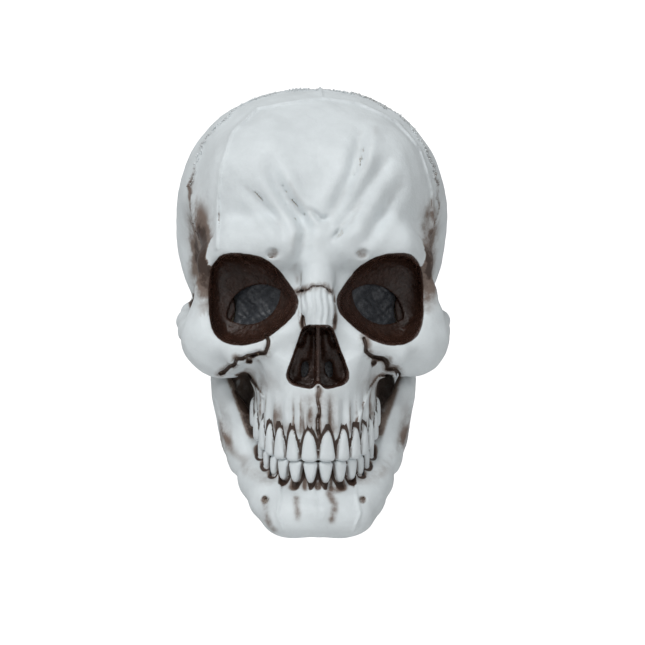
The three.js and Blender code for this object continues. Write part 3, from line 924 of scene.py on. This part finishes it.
def brown_wash_group():
    """Brown wash that settles in hollows, cracks and round the teeth, and rubs thin on raised places; its
    stain input also brings painted shade to the recess beside the jaw.
    """
    numbers = {"Hollow": 0.0, "Stain": 0.0, "Crack": 9.0, "Suture": 20.0, "Fold": 20.0, "Tooth": 9.0}
    group, nodes, g, result = shader_group("brown wash", {**numbers, "Strength": 1.0}, ("Soft", "Dark"))
    patchy = nodes.noise(g["Place"], 95.0, 6.0, 0.65)
    cloudy = nodes.noise(g["Place"], 34.0, 4.0, 0.6)
    breakup = nodes.math("ADD", nodes.times(patchy, 0.6), nodes.times(cloudy, 0.4))
    breakup = nodes.ramp(breakup, 0.36, 0.62)
    settled = nodes.ramp(g["Hollow"], 0.34, 0.95)
    # The stain input brings real brown stains and the painted shade of the recess beside the jaw
    stained = nodes.times(g["Stain"], nodes.math("MULTIPLY_ADD", breakup, 0.75, 0.3))
    creased = nodes.times(nodes.ramp(g["Fold"], 3.2, 0.0), nodes.times(breakup, 0.13))
    stitched = nodes.times(nodes.ramp(g["Suture"], 7.0, 0.5), nodes.math("MULTIPLY_ADD", breakup, 0.5, 0.05))
    halo = nodes.times(nodes.ramp(g["Crack"], 4.5, 0.4), nodes.times(breakup, 0.55))
    lines = nodes.larger(creased, nodes.larger(stitched, halo))
    soft = nodes.larger(nodes.math("ADD", settled, stained), lines)
    wobble = nodes.math("MULTIPLY_ADD", patchy, 1.4, -0.7)
    line = nodes.ramp(nodes.math("ADD", g["Crack"], nodes.times(wobble, 0.7)), 0.85, 0.3)
    trail = nodes.ramp(nodes.math("ADD", g["Suture"], wobble), 1.0, 0.1)
    gap = nodes.times(nodes.ramp(g["Tooth"], 0.08, 0.4), nodes.ramp(g["Tooth"], 2.6, 1.8))
    enamel = nodes.math("MULTIPLY_ADD", nodes.ramp(g["Tooth"], 0.3, -0.1), -0.8, 1.0)
    nodes.feed(result["Soft"], nodes.times(nodes.times(soft, enamel), g["Strength"], clamp=True))
    dark = nodes.larger(line, nodes.times(trail, nodes.times(breakup, 0.8)))
    gap = nodes.times(gap, nodes.ramp(cloudy, 0.3, 0.5, 0.8, 1.0))
    nodes.feed(result["Dark"], nodes.larger(dark, gap, clamp=True))
    return group


def skin_grain_group():
    """The fine unevenness of brushed paint over cast latex, as a height."""
    numbers = {"Coarse": 260.0, "Fine": 1100.0}
    group, nodes, g, result = shader_group("latex grain", numbers, ("Height", "Mottle"))
    coarse = nodes.noise(g["Place"], g["Coarse"], 5.0, 0.6)
    fine = nodes.noise(g["Place"], g["Fine"], 2.0, 0.5)
    pits = nodes.times(nodes.cells(g["Place"], g["Fine"]), 0.1)
    height = nodes.math("MULTIPLY_ADD", coarse, 0.7, nodes.math("MULTIPLY_ADD", fine, 0.2, pits))
    nodes.feed(result["Height"], height)
    nodes.feed(result["Mottle"], nodes.noise(g["Place"], 55.0, 5.0, 0.6))
    return group


def latex_material(name):
    """Bone paint and brown wash outside, glossy paint in the sockets and the nose, bare latex inside."""
    settings = bpy.context.scene.skull_mask
    made, nodes, shader = material(name, settings.bone, 0.58)
    place = nodes.place()
    wash = nodes.add("ShaderNodeGroup", node_tree=brown_wash_group())
    grain = nodes.add("ShaderNodeGroup", node_tree=skin_grain_group())
    for label in ("Hollow", "Stain", "Crack", "Suture", "Fold", "Tooth"):
        nodes.feed(wash.inputs[label], nodes.attribute(label.lower()))
    nodes.feed(wash.inputs["Strength"], settings.wash_strength)
    nodes.feed(wash.inputs["Place"], place)
    nodes.feed(grain.inputs["Place"], place)
    mottle = nodes.ramp(grain.outputs["Mottle"], 0.3, 0.7)
    bone = nodes.mix(mottle, opaque(settings.bone, 0.9), opaque(settings.bone))
    thin_brown = nodes.mix(nodes.ramp(wash.outputs["Soft"], 0.0, 0.55), bone, opaque(settings.wash))
    brown = nodes.mix(nodes.ramp(wash.outputs["Soft"], 0.55, 1.0), thin_brown, opaque(settings.deep))
    lined = nodes.mix(wash.outputs["Dark"], brown, opaque(settings.deep))
    uneven = nodes.math("MULTIPLY_ADD", nodes.noise(place, 140.0, 4.0), 1.0, -0.5)
    varnish = nodes.ramp(nodes.math("ADD", nodes.attribute("gloss"), uneven), 0.25, -0.15)
    thickness = nodes.ramp(nodes.noise(place, 210.0, 5.0, 0.7), 0.3, 0.75)
    varnish_brown = nodes.mix(thickness, opaque(settings.varnish), opaque(settings.varnish, 1.9))
    painted = nodes.mix(varnish, lined, varnish_brown)
    cloudy = nodes.ramp(nodes.noise(place, 60.0), 0.35, 0.65)
    lining = nodes.mix(cloudy, (0.56, 0.46, 0.32, 1), (0.66, 0.56, 0.41, 1))
    nodes.feed(shader.inputs["Base Color"], nodes.mix(nodes.attribute("lining"), painted, lining))
    dull = nodes.math("MULTIPLY_ADD", grain.outputs["Height"], 0.2, 0.46)
    dull = nodes.math("SUBTRACT", dull, nodes.times(wash.outputs["Soft"], 0.1))
    shiny = nodes.ramp(thickness, 0.0, 1.0, 0.14, 0.32)
    nodes.feed(shader.inputs["Roughness"], nodes.mix(varnish, dull, shiny, "FLOAT"))
    bump = nodes.bump(grain.outputs["Height"], 0.45, 0.0008)
    lumps = nodes.bump(thickness, 0.35, 0.0012, Normal=bump)
    nodes.feed(shader.inputs["Normal"], nodes.mix(varnish, bump, lumps, "VECTOR"))
    shader.inputs["Specular IOR Level"].default_value = 0.42
    return made


def foam_material(name):
    made, nodes, shader = material(name, (0.035, 0.036, 0.04), 0.95)
    cells = nodes.cells(nodes.place(), 900.0, "SMOOTH_F1")
    tone = nodes.ramp(cells, 0.1, 0.7)
    nodes.feed(shader.inputs["Base Color"], nodes.mix(tone, (0.008, 0.008, 0.01, 1), (0.06, 0.061, 0.068, 1)))
    nodes.feed(shader.inputs["Normal"], nodes.bump(cells, 0.7, 0.0008))
    return made


def netting_material(name):
    """Fine dark net with a blue-grey sheen on its crinkles."""
    made, nodes, shader = material(name, (0.02, 0.022, 0.026), 0.45)
    place = nodes.place()
    weave = nodes.cells(place, 1500.0)
    tone = nodes.ramp(weave, 0.15, 0.6)
    nodes.feed(shader.inputs["Base Color"], nodes.mix(tone, (0.01, 0.011, 0.014, 1), (0.045, 0.051, 0.06, 1)))
    nodes.feed(shader.inputs["Normal"], nodes.bump(weave, 0.5, 0.0004))
    nodes.feed(shader.inputs["Roughness"], nodes.ramp(nodes.noise(place, 160.0), 0.3, 0.7, 0.2, 0.42))
    shader.inputs["Sheen Weight"].default_value = 0.12
    return made


def nylon_material(name):
    made, nodes, shader = material(name, (0.6, 0.6, 0.56), 0.4)
    scuffs = nodes.ramp(nodes.noise(nodes.place(), 420.0, 6.0, 0.7), 0.45, 0.7)
    nodes.feed(shader.inputs["Base Color"], nodes.mix(scuffs, (0.62, 0.62, 0.58, 1), (0.48, 0.47, 0.42, 1)))
    nodes.feed(shader.inputs["Roughness"], nodes.ramp(scuffs, 0.0, 1.0, 0.34, 0.6))
    return made


def elastic_material(name):
    made, nodes, shader = material(name, (0.02, 0.02, 0.022), 0.85)
    inputs = {"Vector": nodes.place(), "Scale": 420.0, "Distortion": 0.4}
    rib = nodes.add("ShaderNodeTexWave", inputs, bands_direction="Z").outputs["Fac"]
    nodes.feed(shader.inputs["Base Color"], nodes.mix(rib, (0.008, 0.008, 0.009, 1), (0.04, 0.04, 0.044, 1)))
    nodes.feed(shader.inputs["Normal"], nodes.bump(rib, 0.6, 0.0004))
    return made


FINISH_MAKERS = {
    "latex": latex_material,
    "foam": foam_material,
    "netting": netting_material,
    "nylon": nylon_material,
    "elastic": elastic_material,
}
FINISHES = {}


def finish_for(kind):
    """The material of that kind, made the first time it is asked for."""
    if kind not in FINISHES:
        FINISHES[kind] = FINISH_MAKERS[kind]("painted latex" if kind == "latex" else kind)
    return FINISHES[kind]


def place_piece(obj, kind, slot, body, *nodes):
    obj.data.materials.clear()
    obj.data.materials.append(finish_for(kind))
    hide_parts(*nodes)
    if body:
        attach(obj, body)
    return obj


# ---------------------------------------------------------------------------------------------------------
# Small pieces
# ---------------------------------------------------------------------------------------------------------
def pad_shape(form, inset, thickness, low, high):
    """A foam pad glued to the lining: its outer face follows the skin and its corners are rounded."""
    box = block([v + 5 for v in low], [v - 5 for v in high])

    def field(space):
        base = form.field(space)
        _, x, y, z = space.region(*EVERYWHERE)
        slab = smooth_max(base + inset, -(base + inset + thickness), 5)
        return smooth_max(slab, box(x, y, z) - 5, 5)

    return field


def lathe(name, outline, centre_x, side, segments=40):
    """A round piece about the rivet's axis. Its outline runs from axis to axis, or is a closed ring."""
    points, faces = [], []
    count = len(outline)
    for i in range(segments):
        angle = 2 * math.pi * i / segments
        for along, radius in outline:
            x = side * (centre_x + along)
            points.append((x, PIVOT[0] + radius * math.cos(angle), PIVOT[1] + radius * math.sin(angle)))
    for i in range(segments):
        for j in range(count):
            a, b = i * count + j, i * count + (j + 1) % count
            c, d = ((i + 1) % segments) * count + (j + 1) % count, ((i + 1) % segments) * count + j
            faces.append((a, b, c, d))
    obj = mesh_object(name, points, faces)
    tidy(obj)
    obj.data.shade_smooth()
    return obj


def tidy(obj, distance=1e-6):
    """Merges doubled points and turns the faces outwards."""
    work = bmesh.new()
    work.from_mesh(obj.data)
    bmesh.ops.remove_doubles(work, verts=work.verts, dist=distance)
    bmesh.ops.dissolve_degenerate(work, edges=work.edges, dist=distance)
    bmesh.ops.recalc_face_normals(work, faces=work.faces)
    work.to_mesh(obj.data)
    work.free()


def socket_floor(x, z):
    """The y of the bottom of an eye socket's bowl behind a place seen from the front."""
    rim = np.clip((socket_gap(x, z) / SOCKET_RADIUS + 1).clip(0) ** 2.5, 0, 0.97)
    return socket_front(x) + SOCKET_DEPTH * (1 - rim) ** 0.4


def net_panel(name, middle, edge_gap, depth_at, crinkle, thickness):
    """A net panel glued behind a hole: rings of points inside the outline where edge_gap is zero."""
    rings, spokes = 26, 96
    points = [(middle[0], float(depth_at(*np.array(middle)[:, None])[0]), middle[1])]
    turns = np.arange(spokes) * 2 * math.pi / spokes
    low, high = np.zeros(spokes), np.full(spokes, 40.0)
    for _ in range(30):
        reach = (low + high) / 2
        inside = edge_gap(middle[0] + reach * np.cos(turns), middle[1] + reach * np.sin(turns)) < 0
        low, high = np.where(inside, reach, low), np.where(inside, high, reach)
    for ring in range(1, rings + 1):
        x = middle[0] + reach * ring / rings * np.cos(turns)
        z = middle[1] + reach * ring / rings * np.sin(turns)
        y = depth_at(x, z) + crinkle(x, z) * (1 - (ring / rings) ** 4)
        points += list(zip(x, y, z))
    faces = [(0, 1 + (i + 1) % spokes, 1 + i) for i in range(spokes)]
    for ring in range(rings - 1):
        for i in range(spokes):
            a, b = 1 + ring * spokes + i, 1 + ring * spokes + (i + 1) % spokes
            faces.append((a, b, b + spokes, a + spokes))
    obj = mesh_object(name, points, faces)
    area = sum(face.area for face in obj.data.polygons)
    thick = obj.modifiers.new("thickness", "SOLIDIFY")
    thick.thickness, thick.offset = thickness, 0
    apply_modifiers(obj)
    tidy(obj)
    obj.data.shade_smooth()
    return obj, area


def crinkles(x, z):
    """How far the slack net stands in or out."""
    long_fold = 0.8 * np.sin(0.42 * x + 1.3 * np.sin(0.35 * z))
    short_fold = 0.55 * np.sin(0.75 * z - 0.5 * x + 1.0 + np.sin(0.4 * x))
    return long_fold + short_fold + 0.2 * np.sin(1.5 * x + 1.1 * z + np.sin(0.9 * z))


def add_geometry_nodes(obj, build):
    """Runs a geometry node tree on a piece and leaves a plain mesh. build(tree) returns {socket: value}."""
    tree = bpy.data.node_groups.new(obj.name + " nodes", "GeometryNodeTree")
    modifier = obj.modifiers.new("nodes", "NODES")
    values = build(tree)
    modifier.node_group = tree
    for item in tree.interface.items_tree:
        if item.item_type == "SOCKET" and item.in_out == "INPUT" and item.name in values:
            modifier[item.identifier] = values[item.name]
    apply_modifiers(obj)


def new_sockets(tree, sizes):
    """Gives a tree its named inputs and returns its nodes, its inputs and its result."""
    tree.interface.new_socket("Geometry", in_out="INPUT", socket_type="NodeSocketGeometry")
    for label, default in sizes.items():
        socket = tree.interface.new_socket(label, in_out="INPUT", socket_type="NodeSocketFloat")
        socket.default_value = default
    tree.interface.new_socket("Geometry", in_out="OUTPUT", socket_type="NodeSocketGeometry")
    nodes = Nodes(tree)
    return nodes, nodes.add("NodeGroupInput").outputs, nodes.add("NodeGroupOutput").inputs[0]


def braid_tree(tree, finish, radius, bump, spacing):
    """Sweeps a round cord along each of the piece's lines, with a bump at every crossing of the braid."""
    sizes = {"Radius": radius, "Bump": bump, "Spacing": spacing}
    nodes, given, result = new_sockets(tree, sizes)
    curve, spots = points_along(nodes, given)
    ring = nodes.add("GeometryNodeCurvePrimitiveCircle", {"Resolution": 8, "Radius": given["Radius"]})
    cord = {"Curve": curve, "Profile Curve": ring.outputs[0], "Fill Caps": True}
    swept = nodes.add("GeometryNodeCurveToMesh", cord).outputs[0]
    knot = nodes.add("GeometryNodeMeshUVSphere", {"Radius": given["Bump"], "Segments": 8, "Rings": 5})
    settings = {"Points": spots["Points"], "Instance": knot.outputs[0], "Rotation": spots["Rotation"]}
    knots = nodes.add("GeometryNodeInstanceOnPoints", {**settings, "Scale": (1.0, 1.0, 0.75)}).outputs[0]
    both = nodes.add("GeometryNodeJoinGeometry")
    tree.links.new(knots, both.inputs[0])
    tree.links.new(swept, both.inputs[0])
    finish_tree(nodes, both.outputs[0], finish, result)
    return sizes


def crumb_tree(tree, finish, size, spacing):
    """Scatters crumbs of paste along each of the piece's lines."""
    sizes = {"Size": size, "Spacing": spacing}
    nodes, given, result = new_sockets(tree, sizes)
    _, spots = points_along(nodes, given)
    nudge = nodes.random_vector(3, (-0.0007,) * 3, (0.0007,) * 3)
    spots = nodes.add("GeometryNodeSetPosition", {"Geometry": spots[0], "Offset": nudge}).outputs[0]
    crumb = {"Radius": given["Size"], "Segments": 7, "Rings": 5}
    crumb = nodes.add("GeometryNodeMeshUVSphere", crumb).outputs[0]
    scale = nodes.random_vector(7, (0.5, 0.5, 0.5), (1.5, 1.2, 1.5))
    turn = nodes.random_vector(11, (0.0, 0.0, 0.0), (6.3, 6.3, 6.3))
    settings = {"Points": spots, "Instance": crumb, "Rotation": turn, "Scale": scale}
    finish_tree(nodes, nodes.add("GeometryNodeInstanceOnPoints", settings).outputs[0], finish, result)
    return sizes


def points_along(nodes, given):
    """The piece's lines as curves, and evenly spaced points on them."""
    curve = nodes.add("GeometryNodeMeshToCurve", {"Mesh": given["Geometry"]}).outputs[0]
    inputs = {"Curve": curve, "Length": given["Spacing"]}
    return curve, nodes.add("GeometryNodeCurveToPoints", inputs, mode="LENGTH").outputs


def finish_tree(nodes, geometry, finish, result):
    """Ends a tree: its copies made real, smooth and in their material."""
    real = nodes.add("GeometryNodeRealizeInstances", {"Geometry": geometry}).outputs[0]
    smooth = nodes.add("GeometryNodeSetShadeSmooth", {"Geometry": real}).outputs[0]
    painted = nodes.add("GeometryNodeSetMaterial", {"Geometry": smooth, "Material": finish})
    nodes.feed(result, painted.outputs[0])


def lines_object(name, lines):
    """A mesh of loose edges, one open line for each list of points."""
    points = np.concatenate(lines)
    edges, first = [], 0
    for line in lines:
        edges += [(first + i, first + i + 1) for i in range(len(line) - 1)]
        first += len(line)
    return mesh_object(name, points, edges=edges)


def settle(field, start, along, level=0.0, reach=12.0):
    """Moves each point along a direction, at most reach each way, to where the field has the given level."""
    low, high = np.full(len(start), -reach), np.full(len(start), reach)
    for _ in range(16):
        middle = (low + high) / 2
        outside = field(Cloud(start + middle[:, None] * along)) > level
        low, high = np.where(outside, middle, low), np.where(outside, high, middle)
    return start + ((low + high) / 2)[:, None] * along


def behind_skin(x, z, start, depth):
    """The y of a place that lies a given depth behind the outside of the cranium, seen from the front."""
    x, z, y = (np.atleast_1d(np.asarray(v, float)) for v in (x, z, start))
    points = np.stack(np.broadcast_arrays(x, y, z), 1)
    return settle(CRANIUM.field, points, np.array((0.0, 1.0, 0.0)), -depth)[:, 1]


def suture_line(offset):
    """A line along the coronal suture, a little to one side of its middle, on the skin."""
    turn = np.radians(np.arange(-66, 66.1, 0.35))
    out = np.stack([np.sin(turn), 0 * turn, np.cos(turn)], 1)
    start = np.array((0.0, 0.0, CROWN)) + 66 * out
    start[:, 1] = suture_place(turn) + offset
    return settle(CRANIUM.field, start, -out, 0.0, 24)


# ---------------------------------------------------------------------------------------------------------
# Settings
# ---------------------------------------------------------------------------------------------------------
def colour(name, description, default):
    return bpy.props.FloatVectorProperty(
        name=name, description=description, default=default, size=3, min=0, max=1, subtype="COLOR"
    )


def length(name, description, default):
    return number(name, description, default, min=0, unit="LENGTH")


def number(name, description, default, **more):
    return bpy.props.FloatProperty(name=name, description=description, default=default, **more)


class SkullMaskSettings(bpy.types.PropertyGroup):
    """Sizes and colours of the mask."""

    bone: colour("Bone", "Paint over the whole outside", (0.69, 0.74, 0.76))
    wash: colour("Brown wash", "Thin brown paint that settles in hollows", (0.168, 0.127, 0.105))
    deep: colour("Dark brown", "Thick brown paint in cracks and gaps", (0.045, 0.026, 0.018))
    varnish: colour("Socket paint", "Glossy paint in the eye sockets and the nose", (0.026, 0.012, 0.008))
    wash_strength: number("Wash strength", "How much brown wash was left on", 1.0, min=0, max=2)
    skin: length("Latex thickness", "Thickness of the latex", 0.002)
    foam: length("Foam thickness", "Thickness of the pads", 0.0075)
    net: length("Net thickness", "Thickness of the net behind the eyes and nose", 0.0005)
    cord: length("Elastic cord", "Radius of one cord of the elastic bands", 0.0007)


class SkullMaskStage(bpy.types.PropertyGroup):
    """Camera and lights."""

    turn: number("Turn", "Camera's angle round the mask", math.radians(-2.4), subtype="ANGLE")
    rise: number("Rise", "Camera's angle above level", math.radians(0.3), subtype="ANGLE")
    distance: length("Distance", "From the camera to the face", 1.2)
    lens: number("Lens", "Focal length", 124.0, min=10, subtype="DISTANCE_CAMERA")
    key: number("Key light", "Power of the main light", 16.5, unit="POWER")
    fill: number("Fill light", "Power of the second light", 3.0, unit="POWER")
    surround: number("Surround", "Strength of the light from all round", 0.42)


# ---------------------------------------------------------------------------------------------------------
# Pieces
# ---------------------------------------------------------------------------------------------------------
class SKULLMASK_OT_cranium(bpy.types.Operator):
    """Sculpt and paint the cranium's latex skin"""

    bl_idname = "skullmask.cranium"
    bl_label = "Cranium"

    def execute(self, context):
        across = spaced((-84, 84.1, 1.0))
        deep = spaced((-112, -50, 1.0), (-50, 106, 1.2))
        tall = spaced((37, 160, 1.0), (160, 255, 1.1))
        wall = context.scene.skull_mask.skin * 1000
        space = Lattice(across, deep, tall)
        obj, points = skin("cranium_latex", lambda s: cranium_field(s, wall), space, 194000)
        paint_cranium(obj, points)
        place_piece(obj, "latex", "latex", "head", "cranium_shell")
        return {"FINISHED"}


class SKULLMASK_OT_jaw(bpy.types.Operator):
    """Sculpt and paint the jaw's latex skin"""

    bl_idname = "skullmask.jaw"
    bl_label = "Jaw"

    def execute(self, context):
        deep = spaced((-108, -50, 1.0), (-50, 10, 1.1))
        space = Lattice(spaced((-66, 66.1, 1.0)), deep, spaced((-3, 130, 0.9)))
        wall = context.scene.skull_mask.skin * 1000
        obj, points = skin("jaw_latex", lambda s: jaw_field(s, wall), space, 150000)
        paint_jaw(obj, points)
        place_piece(obj, "latex", "latex", "jaw", "jaw_shell")
        return {"FINISHED"}


class SKULLMASK_OT_suture(bpy.types.Operator):
    """Scatter crumbs of painted paste along the coronal suture"""

    bl_idname = "skullmask.suture"
    bl_label = "Suture crust"

    def execute(self, context):
        obj = lines_object("suture_crust", [suture_line(side) for side in (-2.0, -1.1, 1.2, 2.2)])
        add_geometry_nodes(obj, lambda tree: crumb_tree(tree, finish_for("latex"), 0.0007, 0.0013))
        points = mesh_points(obj)
        keep_paint(obj, points, suture=coronal_gap(*points.T) + 3.4 * step(186, 206, points[:, 2]))
        place_piece(obj, "latex", "latex", "head")
        return {"FINISHED"}


class SKULLMASK_OT_nets(bpy.types.Operator):
    """Stretch net behind the eye holes and the nostrils"""

    bl_idname = "skullmask.nets"
    bl_label = "Nets"

    def execute(self, context):
        thick = context.scene.skull_mask.net
        behind = context.scene.skull_mask.skin * 1000 + 0.7
        for side, suffix in SIDES:
            obj, area = net_panel(
                "eye_net_" + suffix,
                (side * EYE_HOLE[0], EYE_HOLE[1]),
                lambda x, z: eye_hole_gap(x, z) - 4,
                lambda x, z: behind_skin(x, z, socket_floor(x, z), behind),
                crinkles,
                thick,
            )
            place_piece(obj, "netting", "mesh", "head", "eye_mesh_" + suffix)
        obj, area = net_panel(
            "nose_net",
            (0.0, 90.5),
            lambda x, z: (abs(x / 13.5) ** 3.5 + abs((z - 90.5) / 8.2) ** 3.5) ** (1 / 3.5) - 1,
            lambda x, z: behind_skin(x, z, np.full(np.shape(x), -77.0), behind + 2),
            lambda x, z: 0.3 * crinkles(x, z) * bell(x, 12, 4),
            thick,
        )
        place_piece(obj, "netting", "mesh", "head", "nose_mesh")
        return {"FINISHED"}


PADS = (  # (CAD node, low corner, high corner, share of the foam's thickness, depth of the folds it clears)
    ("crown_pad", (-36, -30, 214), (36, 46, 250), 1.1, 0.3),
    ("forehead_pad", (-42, -98, 184), (42, -36, 210), 0.8, 3.4),
    ("temple_pad_left", (45, 2, 168), (90, 46, 206), 0.9, 0.3),
    ("temple_pad_right", (-90, 2, 168), (-45, 46, 206), 0.9, 0.3),
    ("nape_pad", (-34, 50, 124), (34, 110, 152), 1.05, 0.3),
)
CHIN_PAD = ((-24, -100, 1), (24, -74, 17))


class SKULLMASK_OT_pads(bpy.types.Operator):
    """Shape the foam pads against the lining"""

    bl_idname = "skullmask.pads"
    bl_label = "Foam pads"

    def execute(self, context):
        inset = context.scene.skull_mask.skin * 1000 + 0.3
        foam = context.scene.skull_mask.foam * 1000
        for node, low, high, share, folds in PADS:
            spans = [spaced((lo - 2, hi + 2, 1.3)) for lo, hi in zip(low, high)]
            field = pad_shape(CRANIUM, inset + folds, foam * share, low, high)
            obj, _ = skin(node + "_foam", field, Lattice(*spans), 40000)
            place_piece(obj, "foam", "foam", "head", node)
        spans = [spaced((lo - 2, hi + 2, 1.0)) for lo, hi in zip(*CHIN_PAD)]
        obj, _ = skin("chin_pad_foam", pad_shape(JAW, inset, foam * 0.7, *CHIN_PAD), Lattice(*spans), 30000)
        place_piece(obj, "foam", "foam", "jaw", "chin_pad")
        return {"FINISHED"}


# Outlines of the rivet's parts, as (along the axis, radius)
POST = [(0, 0), (0, 6.2), (0.25, 6.8), (0.75, 7), (1.25, 6.8), (1.5, 6.2)]
POST += [(1.5, 3.2), (1.75, 3), (9.2, 3), (9.6, 2.6), (9.6, 0)]
WASHER = [(0.2, 3.35), (0, 3.6), (0, 6.7), (0.25, 7), (0.75, 7), (1, 6.7), (1, 3.6), (0.8, 3.35)]
CAP = [(1.3, 0), (1.3, 3.1), (0, 3.1), (0, 6.1), (0.2, 6.45)]
CAP += [(0.9, 6.5), (1.7, 6), (2.35, 4.7), (2.65, 2.4), (2.7, 0)]


class SKULLMASK_OT_rivets(bpy.types.Operator):
    """Turn the nylon rivets that the jaw swings on"""

    bl_idname = "skullmask.rivets"
    bl_label = "Jaw rivets"

    def execute(self, context):
        for side, suffix in SIDES:
            for name, outline, start in (("post", POST, 45.4), ("washer", WASHER, 49.2), ("cap", CAP, 53.8)):
                obj = lathe("rivet_" + name + "_" + suffix, outline, start, side)
                place_piece(obj, "nylon", "nylon", "head", "pivot_" + name + "_" + suffix)
        return {"FINISHED"}


class SKULLMASK_OT_elastics(bpy.types.Operator):
    """Braid the elastic bands that close the jaw"""

    bl_idname = "skullmask.elastics"
    bl_label = "Elastic bands"

    def execute(self, context):
        radius = context.scene.skull_mask.cord
        for side, suffix in SIDES:
            obj = lines_object("elastic_band_" + suffix, elastic_lines(side))
            add_geometry_nodes(
                obj, lambda tree: braid_tree(tree, finish_for("elastic"), radius, radius * 1.12, radius * 2.2)
            )
            place_piece(obj, "elastic", "elastic", None, "jaw_elastic_" + suffix)
            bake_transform(obj)
        return {"FINISHED"}


def elastic_lines(side):
    """The middles of a band's cords, from the lining above the teeth to the lining of the jaw."""
    lines = []
    for i in range(-3, 4):
        z = np.arange(63.2, 24.7, -0.7)
        slack = 1.5 * np.sin((63.2 - z) / 38.5 * math.pi)
        x = np.full_like(z, side * (21.4 + 1.27 * i))
        lines.append(np.stack([x, 0.34 * i - 80 - slack, z], 1))
    return lines


class SKULLMASK_OT_stage(bpy.types.Operator):
    """Set out the floor, lights and camera"""

    bl_idname = "skullmask.stage"
    bl_label = "Stage"

    def execute(self, context):
        stage = context.scene.skull_mask_stage
        target = (Vector((2.4, -95, 114.7)) - Vector(SEAT)) / 1000
        turn, rise = stage.turn, stage.rise
        out = Vector((math.sin(turn) * math.cos(rise), -math.cos(turn) * math.cos(rise), math.sin(rise)))
        camera = linked_object("camera", bpy.data.cameras.new("camera"))
        camera.location = target + out * stage.distance
        camera.rotation_euler = (-out).to_track_quat("-Z", "Y").to_euler()
        camera.data.lens, camera.data.sensor_width = stage.lens, 36
        camera.data.clip_start, camera.data.clip_end = 0.05, 50
        lights = [
            ("key", (-0.6, -1.2, 1.15), 0.8, stage.key),
            ("fill", (0.5, -1.6, 0.3), 1.0, stage.fill),
        ]
        for name, place, size, power in lights:
            light = linked_object(name + "_light", bpy.data.lights.new(name + "_light", "AREA"))
            light.data.shape, light.data.size, light.data.energy = "DISK", size, power
            light.location = place
            light.rotation_euler = (Vector((0, 0, -0.13)) - Vector(place)).to_track_quat("-Z", "Y").to_euler()
        floor = sweep_object()
        world = bpy.data.worlds.new("studio")
        world.use_nodes = True
        background = world.node_tree.nodes["Background"]
        background.inputs["Color"].default_value = (1, 1, 1, 1)
        nodes = Nodes(world.node_tree)
        seen = nodes.add("ShaderNodeLightPath").outputs["Is Camera Ray"]
        strength = nodes.math("MULTIPLY_ADD", seen, 1 - stage.surround, stage.surround)
        nodes.feed(background.inputs["Strength"], strength)
        context.scene.world = world
        context.scene.camera = camera
        context.scene.view_settings.view_transform = "Standard"
        return {"FINISHED"}


def sweep_object():
    """A pale floor that curves up into a wall well behind the mask."""
    profile = [(-3.0, -0.7), (1.2, -0.7)]
    profile += [(1.2 + 1.3 * math.sin(a), 0.6 - 1.3 * math.cos(a)) for a in np.radians(np.arange(5, 91, 5))]
    profile += [(2.5, 3.5)]
    points = [(x, y, z) for y, z in profile for x in (-4, 4)]
    faces = [(2 * i, 2 * i + 1, 2 * i + 3, 2 * i + 2) for i in range(len(profile) - 1)]
    mesh = bpy.data.meshes.new("floor")
    mesh.from_pydata(points, [], faces)
    obj = linked_object("floor", mesh)
    mesh.shade_smooth()
    made, nodes, shader = material("studio paper", (0.93, 0.93, 0.93), 0.9)
    speckle = nodes.ramp(nodes.noise(nodes.place(), 30.0), 0.3, 0.7)
    nodes.feed(shader.inputs["Base Color"], nodes.mix(speckle, opaque((0.925,) * 3), opaque((0.94,) * 3)))
    shader.inputs["Emission Color"].default_value = (1, 1, 1, 1)
    seen = nodes.add("ShaderNodeLightPath").outputs["Is Camera Ray"]
    nodes.feed(shader.inputs["Emission Strength"], nodes.math("MULTIPLY", seen, 0.7))
    mesh.materials.append(made)
    return obj


PIECES = ("cranium", "jaw", "suture", "nets", "pads", "rivets", "elastics", "stage")


class SKULLMASK_PT_panel(bpy.types.Panel):
    """Lists the mask's pieces, sizes and colours"""

    bl_idname = "SKULLMASK_PT_panel"
    bl_label = "Skull mask"
    bl_space_type = "VIEW_3D"
    bl_region_type = "UI"
    bl_category = "Skull mask"

    def draw(self, context):
        layout = self.layout
        for group in (context.scene.skull_mask, context.scene.skull_mask_stage):
            column = layout.column(align=True)
            for name in group.bl_rna.properties.keys():
                if name not in {"rna_type", "name"}:
                    column.prop(group, name)
        for name in PIECES:
            layout.operator("skullmask." + name)


CLASSES = (
    SkullMaskSettings,
    SkullMaskStage,
    SKULLMASK_OT_cranium,
    SKULLMASK_OT_jaw,
    SKULLMASK_OT_suture,
    SKULLMASK_OT_nets,
    SKULLMASK_OT_pads,
    SKULLMASK_OT_rivets,
    SKULLMASK_OT_elastics,
    SKULLMASK_OT_stage,
    SKULLMASK_PT_panel,
)


def register():
    for cls in CLASSES:
        bpy.utils.register_class(cls)
    bpy.types.Scene.skull_mask = bpy.props.PointerProperty(type=SkullMaskSettings)
    bpy.types.Scene.skull_mask_stage = bpy.props.PointerProperty(type=SkullMaskStage)


def unregister():
    del bpy.types.Scene.skull_mask_stage
    del bpy.types.Scene.skull_mask
    for cls in reversed(CLASSES):
        bpy.utils.unregister_class(cls)


def main():
    register()
    for name in PIECES:
        getattr(bpy.ops.skullmask, name)()


if __name__ == "__main__":
    main()
